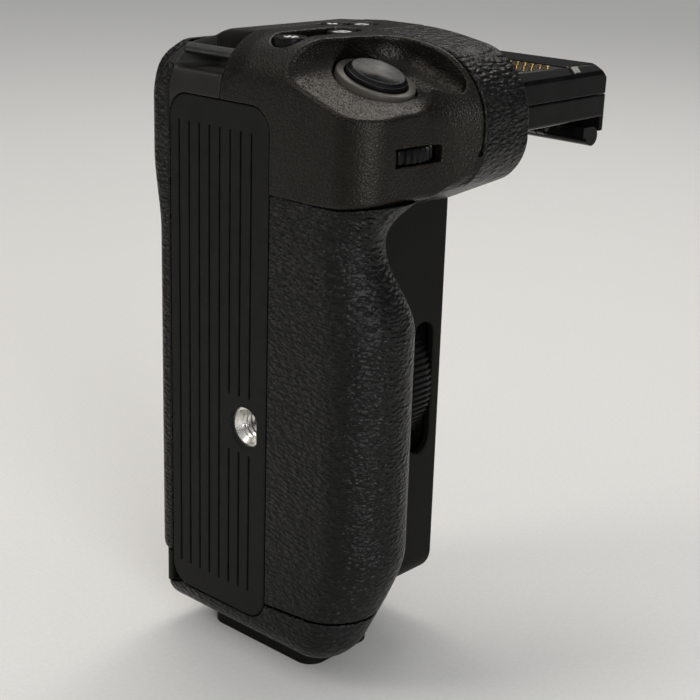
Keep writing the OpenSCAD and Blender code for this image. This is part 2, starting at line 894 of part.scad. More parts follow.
// round front of the end cap under the handgrip
module cap_front() {
  translate([xb + cap_r, cap_y, zc]) rotate([0, 0, 180]) rotate_extrude(angle = 180) difference() {
    square([cap_r, cap_h - seam_gap]);
    corner_waste(cap_r, 0, -1, 1, cap_edge);
  }
}

module end_cap() {
  color([0.045, 0.045, 0.045])
  difference() {
    union() {
      intersection() {
        along_z(zc, z_seam) cap_plan();
        along_z(zc, z_seam) rear_plan(rs);
        along_x(xb, cap_x) cap_side();
        along_y(-60, 60) cap_end();
      }
      cap_front();
    }
    along_x(xb - 1, xs + seam_gap) rounded(
      pad_y0 - seam_gap, pad_z0 - seam_gap, pad_y1 + seam_gap, pad_z0 + 40, pad_r + seam_gap
    );
    box([bay_x1 - 0.8, -far, z_deck - slide_gap], [far, far, far]);
    rod_z(zc - 1, z_seam + 1, latch[0], latch[1], shaft_r + turn_gap);
  }
}

module foot_plate() {
  color([0.05, 0.05, 0.05])
  difference() {
    along_z(zf, zc) rounded(xb + 7.6, -14, bay_x1 - 2.2, rs - 8, 4);
    rod_z(zf - 1, zc - 0.6, latch[0], latch[1], knob_r + 0.5);
    rod_z(zf - 1, zc + 1, latch[0], latch[1], shaft_r + turn_gap);
  }
}

module latch_knob() {
  color([0.06, 0.06, 0.06])
  difference() {
    union() {
      rod_z(zf + 1, zc - 0.9, latch[0], latch[1], knob_r);
      box([latch[0] - 1.2, latch[1] - knob_r + 0.8, zf + 0.3], [latch[0] + 1.2, latch[1] + knob_r - 0.8, zf + 1.5]);
      rod_z(zf + 1, tongue_z, latch[0], latch[1], shaft_r);
    }
    rod_z(tongue_z - 2, tongue_z + 1, latch[0], latch[1], 1);
  }
}

module latch_tongue() {
  color([0.62, 0.62, 0.62]) {
    box(
      [latch[0] - tongue_w / 2, latch[1] - 3, tongue_z],
      [latch[0] + tongue_w / 2, latch[1] + tongue_len - 0.6, tongue_z + tongue_t]
    );
    rod_z(tongue_z - 2, tongue_z, latch[0], latch[1], 1);
  }
}

module shutter_button() {
  color([0.02, 0.02, 0.025])
  on_seat() {
    difference() {
      union() {
        translate([0, 0, -2]) cylinder(r = shutter_r, h = 3.4);
        translate([0, 0, 1.4]) cylinder(r1 = shutter_r, r2 = shutter_r - 0.9, h = 0.8);
        translate([0, 0, -4]) cylinder(r = 2, h = 3);
      }
      translate([0, 0, 2.2 - 0.35]) cylinder(r1 = 0.02, r2 = shutter_r - 1.2, h = 0.37);
    }
  }
}

module shutter_ring() {
  color([0.12, 0.12, 0.12])
  on_seat() difference() {
    union() {
      translate([0, 0, -1.2]) cylinder(r = ring_r, h = 1.5);
      translate([0, 0, 0.3]) cylinder(r1 = ring_r, r2 = ring_r - 0.4, h = 0.4);
    }
    translate([0, 0, -2]) cylinder(r = ring_in, h = 4);
  }
}

module shutter_switch() {
  color([0.3, 0.3, 0.3])
  on_seat() translate([0, 0, switch_top - 1.2]) cylinder(r = ring_in - turn_gap, h = 1.2);
}

module dial(c, z) {
  translate([c[0], c[1], z]) difference() {
    linear_extrude(dial_w) polygon(knurl(dial_teeth, dial_r, 0.6));
    translate([0, 0, -1]) cylinder(r = axle_r + turn_gap, h = dial_w + 2);
  }
}

module front_dial() {
  color([0.03, 0.03, 0.03]) dial(front_dial, front_dial_z);
}

module front_dial_axle() {
  color([0.7, 0.7, 0.7])
  rod_z(house_z, front_dial_z + dial_w + 0.3, front_dial[0], front_dial[1], axle_r);
}

module rear_dial() {
  color([0.03, 0.03, 0.03]) dial(rear_dial, rear_dial_z);
}

module rear_dial_axle() {
  color([0.7, 0.7, 0.7])
  rod_z(house_z, rear_dial_z + dial_w + 0.3, rear_dial[0], rear_dial[1], axle_r);
}

module top_button(i) {
  b = buttons[i];
  r = b[2] * button_r;
  color([0.02, 0.02, 0.022]) {
    rod_z(zt - button_deep + 1.1, zt - button_sink - 0.4, b[0], b[1], r);
    translate([b[0], b[1], zt - button_sink - 0.4]) cylinder(r1 = r, r2 = r - 0.4, h = 0.4);
  }
}

module button_a() {
  top_button(0);
}

module button_b() {
  top_button(1);
}

module button_c() {
  top_button(2);
}

module button_d() {
  top_button(3);
}

module rear_action_button() {
  y1 = head_rear + skin_t + 0.5;
  color([0.03, 0.03, 0.03]) {
    rod_y(rs - 1.2, y1 - 0.4, rear_button[0], rear_button[1], button_r);
    translate([rear_button[0], y1 - 0.4, rear_button[1]]) rotate([-90, 0, 0])
      cylinder(r1 = button_r, r2 = button_r - 0.4, h = 0.4);
  }
}

body_shell();
head_shell();
rear_shell();
base_pad();
handgrip_skin();
head_band();
rear_skin();
tripod_bushing();
deck_plate();
deck_screws();
deck_gasket();
locating_pins();
tower_shell();
tower_cover();
contact_block();
contact_pins();
tower_clip();
tower_catch();
catch_pin();
strap_bar();
chassis_plate();
circuit_board();
head_cable();
bay_contact_block();
bay_contact_fingers();
attaching_wheel();
camera_screw();
battery_tray();
battery_upper();
battery_lower();
tray_contacts();
end_cap();
foot_plate();
latch_knob();
latch_tongue();
shutter_button();
shutter_ring();
shutter_switch();
front_dial();
front_dial_axle();
rear_dial();
rear_dial_axle();
button_a();
button_b();
button_c();
button_d();
rear_action_button();
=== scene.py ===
"""Looks of the battery grip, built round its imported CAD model. Shapes are worked out in millimetres."""

import math

import bmesh
import bpy
import numpy as np
from mathutils import Matrix, Vector


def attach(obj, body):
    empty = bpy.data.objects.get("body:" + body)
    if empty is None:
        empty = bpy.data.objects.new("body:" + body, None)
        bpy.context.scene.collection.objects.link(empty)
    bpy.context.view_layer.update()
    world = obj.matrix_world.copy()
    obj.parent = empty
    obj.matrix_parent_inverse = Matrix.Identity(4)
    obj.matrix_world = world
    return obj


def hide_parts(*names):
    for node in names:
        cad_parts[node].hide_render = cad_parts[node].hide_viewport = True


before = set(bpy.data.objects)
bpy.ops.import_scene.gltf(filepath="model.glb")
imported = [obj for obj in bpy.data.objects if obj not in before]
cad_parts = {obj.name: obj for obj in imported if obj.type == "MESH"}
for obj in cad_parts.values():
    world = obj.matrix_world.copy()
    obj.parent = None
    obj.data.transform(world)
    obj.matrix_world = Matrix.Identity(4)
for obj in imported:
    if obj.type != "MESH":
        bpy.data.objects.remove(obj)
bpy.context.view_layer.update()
MM = 0.001
FINE = 1.0

# sizes shared with the CAD source
XB, XS, FY = -44.0, -41.6, -17.8
RS, REAR, HEAD_REAR, SKIN = 26.9, 28.5, 28.9, 1.6
ZT, ZH, Z_SEAM, Z_DECK, ZC, ZF = 78.6, 47.5, -45.5, -47.6, -54.6, -60.0
BAND_X, BAND_T, SPLIT = -15.0, 1.8, 8.0
PAD = (-6.3, -48.6, 23.3, 64.6, 5.0)
SOCKET_Z = -4.4
SEAT, TILT = (-28.0, -19.9, 70.5), math.radians(20.5)
FRONT_DIAL, FRONT_DIAL_Z = (-29.0, -22.0), 56.2
REAR_DIAL, REAR_DIAL_Z = (-20.0, 20.0), 57.5
DIAL_R, DIAL_W = 11.0, 2.8
BUTTONS = [(-36.4, -4.7, 3.4), (-21.6, -4.7, 3.06), (-14.6, 4.6, 2.55), (-10.0, 0.3, 2.72)]
REAR_BUTTON = (-34.0, 61.5, 3.4)
WHEEL_X, WHEEL_R, WHEEL_W = -6.6, 18.4, 6.0


# distance fields
def rmax(a, b, r):
    """Intersection whose convex edge is rounded with radius r."""
    u, v = np.maximum(r + a, 0), np.maximum(r + b, 0)
    return np.minimum(-r, np.maximum(a, b)) + np.sqrt(u * u + v * v)


def rmin(a, b, r):
    """Union whose concave edge is filled with radius r."""
    return -rmax(-a, -b, r)


def cut(a, b, r):
    """a without b, the new edge rounded with radius r."""
    return rmax(a, -b, r)


def poly(p, q, pts):
    """Signed distance to a closed outline."""
    d, inside = None, None
    n = len(pts)
    for i in range(n):
        ax, ay = pts[i]
        bx, by = pts[(i + 1) % n]
        ex, ey = bx - ax, by - ay
        wx, wy = p - ax, q - ay
        t = np.clip((wx * ex + wy * ey) / (ex * ex + ey * ey), 0, 1)
        dd = (wx - ex * t) ** 2 + (wy - ey * t) ** 2
        d = dd if d is None else np.minimum(d, dd)
        if ay != by:
            crosses = ((ay > q) != (by > q)) & (p < ex * (q - ay) / ey + ax)
            inside = crosses if inside is None else inside ^ crosses
    return np.where(inside, -1.0, 1.0) * np.sqrt(d)


def box(x, y, z, lo, hi):
    d = [np.maximum(l - p, p - h) for p, l, h in zip((x, y, z), lo, hi)]
    return np.maximum(np.maximum(d[0], d[1]), d[2])


def slab(p, lo, hi):
    return np.maximum(lo - p, p - hi)


def rrect(p, q, p0, q0, p1, q1, r):
    """Signed distance to a rounded rectangle."""
    a = np.abs(p - (p0 + p1) / 2) - (p1 - p0) / 2 + r
    b = np.abs(q - (q0 + q1) / 2) - (q1 - q0) / 2 + r
    return np.minimum(np.maximum(a, b), 0) + np.hypot(np.maximum(a, 0), np.maximum(b, 0)) - r


def capsule(p, q, a, b, r):
    """Signed distance to a thick line from a to b."""
    e = (b[0] - a[0], b[1] - a[1])
    t = np.clip(((p - a[0]) * e[0] + (q - a[1]) * e[1]) / (e[0] ** 2 + e[1] ** 2), 0, 1)
    return np.hypot(p - a[0] - e[0] * t, q - a[1] - e[1] * t) - r


def step(a, b, x):
    t = np.clip((x - a) / (b - a), 0, 1)
    return t * t * (3 - 2 * t)


def axis(lo, hi, pitch, dense=()):
    """Grid lines with the given pitch, and closer ones in each (from, to, pitch) of dense."""
    out, p = [], lo
    while p < hi + pitch:
        out.append(p)
        here = [d for a, b, d in dense if a <= p <= b]
        p += min(here + [pitch]) * FINE
    return np.array(out)


def nets(f, ax, ay, az):
    """Quads through the zero level of f on a grid, with points moved onto it, and its normals."""
    shape = (len(ax), len(ay), len(az))
    value = np.broadcast_to(f(ax[:, None, None], ay[None, :, None], az[None, None, :]), shape)
    inside = value < 0
    corners = [(i, j, k) for i in (0, 1) for j in (0, 1) for k in (0, 1)]
    count = sum(
        inside[i : shape[0] - 1 + i, j : shape[1] - 1 + j, k : shape[2] - 1 + k].astype(np.int8)
        for i, j, k in corners
    )
    where = np.nonzero((count > 0) & (count < 8))
    index = np.full(count.shape, -1, np.int64)
    index[where] = np.arange(len(where[0]))
    lines = (ax, ay, az)
    total, hits = np.zeros((len(where[0]), 3)), np.zeros(len(where[0]))
    for a in corners:
        for axis_no in range(3):
            if a[axis_no]:
                continue
            b = tuple(c + (n == axis_no) for n, c in enumerate(a))
            va = value[tuple(w + o for w, o in zip(where, a))]
            vb = value[tuple(w + o for w, o in zip(where, b))]
            hit = (va < 0) != (vb < 0)
            t = np.where(hit, va / np.where(hit, va - vb, 1), 0)
            pa = np.stack([l[w + o] for l, w, o in zip(lines, where, a)], 1)
            pb = np.stack([l[w + o] for l, w, o in zip(lines, where, b)], 1)
            total += hit[:, None] * (pa + t[:, None] * (pb - pa))
            hits += hit
    points = total / hits[:, None]
    faces = []
    for n, (u, v) in enumerate(((1, 2), (0, 2), (0, 1))):
        sl0, sl1 = [slice(1, -1)] * 3, [slice(1, -1)] * 3
        sl0[n], sl1[n] = slice(0, -1), slice(1, None)
        s0, s1 = inside[tuple(sl0)], inside[tuple(sl1)]
        at = list(np.nonzero(s0 != s1))
        first = s0[tuple(at)]
        at[u], at[v] = at[u] + 1, at[v] + 1
        ring = []
        for du, dv in ((-1, -1), (0, -1), (0, 0), (-1, 0)):
            c = list(at)
            c[u], c[v] = at[u] + du, at[v] + dv
            ring.append(index[tuple(c)])
        quad = np.stack(ring, 1)
        flip = first if n == 1 else ~first
        quad[flip] = quad[flip][:, ::-1]
        faces.append(quad)
    limit = 0.6 * min(np.diff(l).min() for l in lines)
    for _ in range(4):
        g = gradient(f, points)
        d = f(points[:, 0], points[:, 1], points[:, 2])
        move = (d / np.maximum((g * g).sum(1), 1e-6))[:, None] * g
        size = np.linalg.norm(move, axis=1, keepdims=True)
        points = points - move * np.minimum(1, limit / np.maximum(size, 1e-9))
    g = gradient(f, points)
    normals = g / np.maximum(np.linalg.norm(g, axis=1, keepdims=True), 1e-9)
    return points, np.concatenate(faces), normals


def gradient(f, p, h=0.02):
    out = np.zeros_like(p)
    for n in range(3):
        e = np.zeros(3)
        e[n] = h
        a, b = p + e, p - e
        out[:, n] = (f(a[:, 0], a[:, 1], a[:, 2]) - f(b[:, 0], b[:, 1], b[:, 2])) / (2 * h)
    return out


# meshes
def make(name, verts, faces, material, body, stands_for=(), normals=None, place=None):
    """A piece of the part in the row frame, from points in millimetres."""
    mesh = bpy.data.meshes.new(name)
    mesh.from_pydata((np.asarray(verts) * MM).tolist(), [], [list(map(int, f)) for f in faces])
    mesh.validate()
    if normals is not None:
        mesh.normals_split_custom_set_from_vertices(normals.tolist())
    else:
        mesh.shade_smooth()
    ob = bpy.data.objects.new(name, mesh)
    bpy.context.scene.collection.objects.link(ob)
    if place is not None:
        ob.matrix_world = place
    mesh.materials.append(material)
    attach(ob, body)
    if stands_for:
        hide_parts(*stands_for)
    return ob


def solid(name, f, grid, material, body, stands_for=()):
    p, q, n = nets(f, *grid)
    return make(name, p, q, material, body, stands_for, n)


def sharpen(ob, degrees=35):
    """Keeps edges over the angle crisp."""
    bm = bmesh.new()
    bm.from_mesh(ob.data)
    for e in bm.edges:
        e.smooth = e.is_manifold and e.calc_face_angle(0) < math.radians(degrees)
    bm.to_mesh(ob.data)
    bm.free()
    return ob


def weld(ob, dist=1e-6):
    bm = bmesh.new()
    bm.from_mesh(ob.data)
    bmesh.ops.remove_doubles(bm, verts=bm.verts, dist=dist)
    bmesh.ops.dissolve_degenerate(bm, edges=bm.edges, dist=dist / 10)
    bmesh.ops.recalc_face_normals(bm, faces=bm.faces)
    bm.to_mesh(ob.data)
    bm.free()
    return ob


# materials
class Nodes:
    """A small helper for writing node trees."""

    def __init__(self, name):
        self.mat = bpy.data.materials.new(name)
        self.mat.use_nodes = True
        self.tree = self.mat.node_tree
        self.shader = self.tree.nodes["Principled BSDF"]
        coords = self.add("ShaderNodeTexCoord")
        self.mm = self.add("ShaderNodeVectorMath", operation="SCALE")
        self.mm.inputs["Scale"].default_value = 1000.0
        self.link(coords.outputs["Object"], self.mm.inputs[0])
        self.at = self.mm.outputs[0]

    def add(self, kind, **props):
        n = self.tree.nodes.new(kind)
        for k, v in props.items():
            setattr(n, k, v)
        return n

    def link(self, a, b):
        self.tree.links.new(a, b)

    def put(self, socket, value):
        if hasattr(value, "is_output"):
            self.link(value, socket)
        else:
            socket.default_value = value

    def math(self, op, a, b=0.0, c=0.0):
        n = self.add("ShaderNodeMath", operation=op)
        for s, v in zip(n.inputs, (a, b, c)):
            self.put(s, v)
        return n.outputs[0]

    def stretched(self, at, by):
        n = self.add("ShaderNodeVectorMath", operation="MULTIPLY")
        self.link(at, n.inputs[0])
        n.inputs[1].default_value = by
        return n.outputs[0]

    def noise(self, scale, detail=2.0, rough=0.5, at=None, distortion=0.0):
        n = self.add("ShaderNodeTexNoise")
        self.link(at or self.at, n.inputs["Vector"])
        n.inputs["Scale"].default_value = scale
        n.inputs["Detail"].default_value = detail
        n.inputs["Roughness"].default_value = rough
        n.inputs["Distortion"].default_value = distortion
        return n.outputs["Fac"]

    def voronoi(self, scale, feature, at=None):
        n = self.add("ShaderNodeTexVoronoi", feature=feature)
        self.link(at or self.at, n.inputs["Vector"])
        n.inputs["Scale"].default_value = scale
        return n.outputs["Distance"]

    def ramp(self, fac, low, high, out0=0.0, out1=1.0):
        n = self.add("ShaderNodeMapRange", interpolation_type="SMOOTHSTEP")
        for s, v in zip(n.inputs, (fac, low, high, out0, out1)):
            self.put(s, v)
        return n.outputs[0]

    def mix(self, fac, a, b):
        n = self.add("ShaderNodeMix", data_type="RGBA")
        self.put(n.inputs[0], fac)
        self.put(n.inputs[6], (*a, 1) if isinstance(a, tuple) else a)
        self.put(n.inputs[7], (*b, 1) if isinstance(b, tuple) else b)
        return n.outputs[2]

    def bump(self, height, distance_mm):
        n = self.add("ShaderNodeBump")
        n.inputs["Strength"].default_value = 1.0
        n.inputs["Distance"].default_value = distance_mm * MM
        self.link(height, n.inputs["Height"])
        return n.outputs[0]

    def finish(self, colour=None, rough=None, normal=None, **sockets):
        for socket, value in (("Base Color", colour), ("Roughness", rough), ("Normal", normal)):
            if value is not None:
                s = self.shader.inputs[socket]
                self.put(s, (*value, 1) if isinstance(value, tuple) else value)
        for k, v in sockets.items():
            self.shader.inputs[k.replace("_", " ")].default_value = v
        return self.mat


def leather(name, dark=(0.0015, 0.0015, 0.0015), light=(0.006, 0.006, 0.0058), size=1.0):
    """Moulded rubber with a leather grain: flat pebbles of two sizes, with fine pores."""
    n = Nodes(name)
    warp = n.add("ShaderNodeTexNoise")
    n.link(n.at, warp.inputs["Vector"])
    warp.inputs["Scale"].default_value = 0.5
    warp.inputs["Detail"].default_value = 2.0
    shift = n.add("ShaderNodeVectorMath", operation="MULTIPLY_ADD")
    n.link(warp.outputs["Color"], shift.inputs[0])
    shift.inputs[1].default_value = (0.8, 0.8, 0.8)
    n.link(n.at, shift.inputs[2])
    at = n.stretched(shift.outputs[0], (0.52, 0.52, 1.1))
    big = n.ramp(n.voronoi(1 / size, "F1", at), 0.8, 0.0)
    small = n.ramp(n.voronoi(1.7 / size, "F1", at), 0.8, 0.0)
    choose = n.ramp(n.noise(0.4, 2.0), 0.42, 0.6)
    grains = n.math("MULTIPLY_ADD", n.math("SUBTRACT", small, big), n.math("MULTIPLY", choose, 0.5), big)
    folds = n.noise(0.5, 2.0, 0.5, at, 0.4)
    pores = n.noise(4.5, 3.0, 0.6)
    a = n.math("MULTIPLY_ADD", folds, 0.3, grains)
    height = n.math("MULTIPLY_ADD", pores, 0.14, a)
    colour = n.mix(n.ramp(height, 0.5, 1.3), dark, light)
    rough = n.ramp(height, 0.4, 1.3, 0.4, 0.24)
    return n.finish(colour, rough, n.bump(height, 0.36), Specular_IOR_Level=0.2)


def moulded(name, dark, light, rough=0.5, grain=0.28, depth=0.05, sparkle=0.0, shine=0.25,
            tint=(1, 1, 1)):
    """Injection-moulded plastic with a fine spark texture."""
    n = Nodes(name)
    pits = n.voronoi(1 / grain, "F1")
    cloud = n.noise(1.6 / grain, 3.0, 0.6)
    broad = n.noise(0.12, 2.0)
    height = n.math("MULTIPLY_ADD", n.ramp(pits, 0.05, 0.6), 0.6, n.math("MULTIPLY", cloud, 0.7))
    tone = n.math("MULTIPLY_ADD", n.ramp(height, 0.4, 1.1), 0.55, n.ramp(broad, 0.3, 0.7, 0.0, 0.45))
    colour = n.mix(tone, dark, light)
    spark = n.ramp(n.noise(2.6 / grain, 2.0, 0.7), 0.55, 0.75, 0.0, sparkle)
    r = n.math("SUBTRACT", n.ramp(cloud, 0.3, 0.7, rough + 0.06, rough - 0.06), spark)
    return n.finish(colour, r, n.bump(height, depth), Specular_IOR_Level=shine, Specular_Tint=(*tint, 1))


def gloss(name, dark=(0.006, 0.006, 0.007), rough=0.12):
    """Polished plastic with faint handling marks."""
    n = Nodes(name)
    smear = n.noise(0.25, 4.0, 0.6)
    hair = n.noise(9.0, 2.0, 0.5)
    colour = n.mix(n.ramp(smear, 0.3, 0.7), dark, tuple(c * 1.8 for c in dark))
    marks = n.ramp(smear, 0.35, 0.7, rough - 0.03, rough + 0.09)
    r = n.math("ADD", marks, n.ramp(hair, 0.4, 0.7, 0.0, 0.03))
    return n.finish(colour, r, n.bump(hair, 0.004), Specular_IOR_Level=0.1)


def metal(name, colour, rough=0.3, grain=(1.0, 1.0, 1.0), depth=0.01):
    """Machined or plated metal with tool marks stretched by grain, and slight tarnish."""
    n = Nodes(name)
    marks = n.noise(6.0, 3.0, 0.6, n.stretched(n.at, grain))
    stain = n.noise(0.7, 3.0, 0.6)
    c = n.mix(n.ramp(stain, 0.35, 0.7), colour, tuple(v * 0.72 for v in colour))
    worn = n.ramp(marks, 0.3, 0.7, rough - 0.06, rough + 0.08)
    r = n.math("ADD", worn, n.ramp(stain, 0.4, 0.7, 0, 0.08))
    return n.finish(c, r, n.bump(marks, depth), Metallic=1.0)


def ribbed_rubber(name):
    """Firm matte rubber with dust-fine grain and a little scuffing."""
    n = Nodes(name)
    grain = n.noise(5.5, 3.0, 0.65)
    scuff = n.noise(0.35, 4.0, 0.6)
    colour = n.mix(n.ramp(scuff, 0.35, 0.7), (0.0035, 0.0035, 0.0035), (0.007, 0.007, 0.0068))
    rough = n.math("ADD", n.ramp(grain, 0.3, 0.7, 0.66, 0.56), n.ramp(scuff, 0.4, 0.7, 0.0, 0.06))
    return n.finish(colour, rough, n.bump(grain, 0.03), Specular_IOR_Level=0.18)


def turned(name, dark=(0.003, 0.003, 0.0035)):
    """Glossy cap turned on a lathe: fine rings about local Z, anisotropic shine."""
    n = Nodes(name)
    flat = n.stretched(n.at, (1, 1, 0))
    radius = n.add("ShaderNodeVectorMath", operation="LENGTH")
    n.link(flat, radius.inputs[0])
    ring = n.add("ShaderNodeCombineXYZ")
    n.link(radius.outputs["Value"], ring.inputs[0])
    rings = n.noise(9.0, 3.0, 0.7, ring.outputs[0])
    smear = n.noise(0.4, 3.0)
    colour = n.mix(n.ramp(rings, 0.35, 0.65), dark, tuple(c * 2.2 for c in dark))
    rough = n.ramp(smear, 0.3, 0.7, 0.2, 0.27)
    tangent = n.add("ShaderNodeTangent", direction_type="RADIAL", axis="Z")
    n.link(tangent.outputs[0], n.shader.inputs["Tangent"])
    return n.finish(colour, rough, n.bump(rings, 0.006), Anisotropic=0.9, Specular_IOR_Level=0.14)


def printed(name, colour=(0.86, 0.86, 0.84)):
    """Thick white ink, slightly uneven."""
    n = Nodes(name)
    patch = n.noise(3.0, 3.0, 0.6)
    c = n.mix(n.ramp(patch, 0.3, 0.7), tuple(v * 0.86 for v in colour), colour)
    return n.finish(c, n.ramp(patch, 0.3, 0.7, 0.5, 0.4), n.bump(patch, 0.01))


def board_mask(name):
    """Green solder mask with copper showing faintly through."""
    n = Nodes(name)
    tracks = n.voronoi(0.6, "DISTANCE_TO_EDGE")
    c = n.mix(n.ramp(tracks, 0.05, 0.12), (0.03, 0.16, 0.07), (0.01, 0.08, 0.03))
    return n.finish(c, n.ramp(n.noise(3.0), 0.3, 0.7, 0.3, 0.4), n.bump(tracks, 0.03))


M = {
    "leather": leather("leather_rubber"),
    "head": moulded("head_moulding", (0.001, 0.001, 0.0008), (0.006, 0.0053, 0.004),
                    rough=0.3, grain=0.5, depth=0.1, sparkle=0.08, shine=0.22, tint=(1.0, 0.95, 0.86)),
    "body": moulded("body_moulding", (0.002, 0.002, 0.0017), (0.004, 0.004, 0.0034),
                    rough=0.6, grain=0.22, depth=0.015, sparkle=0.03, shine=0.12),
    "rear": moulded("rear_moulding", (0.005, 0.005, 0.0045), (0.014, 0.0135, 0.012),
                    rough=0.46, grain=0.28, depth=0.03, sparkle=0.08),
    "inner": moulded("inner_moulding", (0.005, 0.005, 0.005), (0.012, 0.012, 0.012),
                     rough=0.6, grain=0.3, depth=0.03),
    "pad": ribbed_rubber("ribbed_rubber"),
    "gloss": gloss("gloss_black", (0.003, 0.003, 0.003), 0.1),
    "keys": gloss("key_black", (0.004, 0.004, 0.004), 0.3),
    "dial": gloss("dial_black", (0.004, 0.004, 0.004), 0.24),
    "ring": moulded("ring_satin", (0.04, 0.038, 0.032), (0.075, 0.07, 0.06),
                    rough=0.36, grain=0.2, depth=0.012, sparkle=0.06),
    "cap": turned("turned_cap"),
    "steel": metal("machined_steel", (0.62, 0.6, 0.56), 0.26),
    "dark_steel": metal("blackened_steel", (0.08, 0.08, 0.082), 0.34),
    "gold": metal("gold_plate", (0.9, 0.64, 0.27), 0.2),
    "alloy": metal("stamped_alloy", (0.5, 0.5, 0.52), 0.4, (1, 0.2, 1)),
    "ink": printed("white_ink"),
    "board": board_mask("board_mask"),
    "pack": moulded("pack_moulding", (0.02, 0.02, 0.021), (0.045, 0.045, 0.047),
                    rough=0.5, grain=0.3, depth=0.03),
    "thread": metal("cut_thread", (0.8, 0.78, 0.74), 0.24, (0.6, 1, 1), 0.006),
    "flex": metal("flex_copper", (0.55, 0.28, 0.1), 0.35),
}


# head, rear and skins
BROW, NOSE_Y, NOSE_Z, NOSE_R, CROWN_R, CHIN_R = math.radians(9.7), -38.0, 64.5, 12.0, 15.0, 6.0
CHIN_LEVEL = 55.8
# walls of the dish, which differ a little from the solid's
SEAT_RIGHT, SEAT_REAR, SEAT_TURN = 12.0, 8.45, math.radians(9)


def smax(a, b, k):
    """Soft maximum for surfaces that meet at a flat angle."""
    h = np.clip(0.5 + 0.5 * (a - b) / k, 0, 1)
    return b + (a - b) * h + k * h * (1 - h)


def brow(y, z, d=0.0):
    """Face that slopes from the nose up to the top."""
    s, c = math.sin(BROW), math.cos(BROW)
    r = NOSE_R - d
    return (NOSE_Y + NOSE_R - r * s - y) * s + (z - NOSE_Z - r * c) * c


def top_face(y, z, d=0.0):
    """Flat top of the head, which falls gently towards the rear."""
    return z - ZT + d + 0.07 * np.maximum(y - 2, 0)


def lid(y, z, d=0.0):
    return smax(top_face(y, z, d), brow(y, z, d), 1.2)


def roof(y, z, d=0.0):
    """Rear, crown and top of the head."""
    return smax(rmax(y - HEAD_REAR + d, top_face(y, z, d), CROWN_R - d), brow(y, z, d), 1.2)


def base_edge(x, y, z, d=0.0):
    """Base with its large rounding into the top and its small one into the rear."""
    base = XB + d - x
    f = rmax(base, lid(y, z, d), 10 + 3 * step(0, 9, y) - d)
    return np.maximum(f, rmax(base, y - HEAD_REAR + d, 3.0))


def chin(y, z, d, degrees, level):
    """Face that slopes back under the nose."""
    s, c = math.sin(math.radians(degrees)), math.cos(math.radians(degrees))
    r = CHIN_R - d
    return -(y - NOSE_Y - CHIN_R + r * s) * s - (z - level + r * c) * c


def nose(y, z, d=0.0):
    """Nose of the head where the band lies on it."""
    front = rmax(NOSE_Y + d - y, brow(y, z, d), NOSE_R - d)
    return rmax(front, chin(y, z, d, 25, CHIN_LEVEL), CHIN_R - d)


def line(p, q, a, b):
    """Signed distance to a line, positive on its right."""
    n = math.hypot(b[0] - a[0], b[1] - a[1])
    return ((b[1] - a[1]) * (p - a[0]) - (b[0] - a[0]) * (q - a[1])) / n


def flank(x, y):
    return line(x, y, (-24, -33), (-15, -37.7))


def head_front(x, y):
    """Plan of the head front: a face with the dial, a soft valley, a flank out to the band."""
    face = line(x, y, (-36, -32), (-24, -33))
    return -smax(-face, -flank(x, y), 2.2)


def seat_axes(x, y, z):
    """Coordinates along the tilted seat of the shutter button, and square to it."""
    c, s = math.cos(TILT), math.sin(TILT)
    v, w = y - SEAT[1], z - SEAT[2]
    return x - SEAT[0], v * c + w * s, w * c - v * s


def seat_hollow(x, y, z):
    """Dish round the shutter button: turned rear wall, wall beside the band, low lip at the flank."""
    u, v, w = seat_axes(x, y, z)
    rear = u * math.sin(SEAT_TURN) + v * math.cos(SEAT_TURN) - SEAT_REAR
    lip = rmin(flank(x, y) + 1.7, u - 2.5, 2.0)
    wall = rmax(rmax(rear, u - SEAT_RIGHT, 6.5), lip, 3.0)
    floor = w + 0.0137 * np.maximum(-30.5 - x, 0) ** 2
    return rmax(-floor, wall, 4.5)


def seam_line(x, z):
    """Edge between head and band: upright beside the dish, swept back under the flank."""
    return rmax(x - BAND_X, (x + 23.5) * 0.504 - (z - 49.4) * 0.863, 5.0)


def pad_pocket(x, y, z):
    """Room for the base pad, a little wider than it all round."""
    y0, z0, y1, z1, r = PAD
    return np.maximum(rrect(y, z, y0 - 0.2, z0 - 0.2, y1 + 0.2, z1 + 0.2, r + 0.2), x - XS)


def dial_pocket(x, y, z, at, low):
    away = np.hypot(x - at[0], y - at[1]) - DIAL_R - 0.5
    return np.maximum(away, slab(z, low - 0.4, low + DIAL_W + 0.4))


def dial_window(x, z, at, low):
    return rrect(x, z, at[0] - 5.8, low - 0.3, at[0] + 5.8, low + 3.1, 0.6)


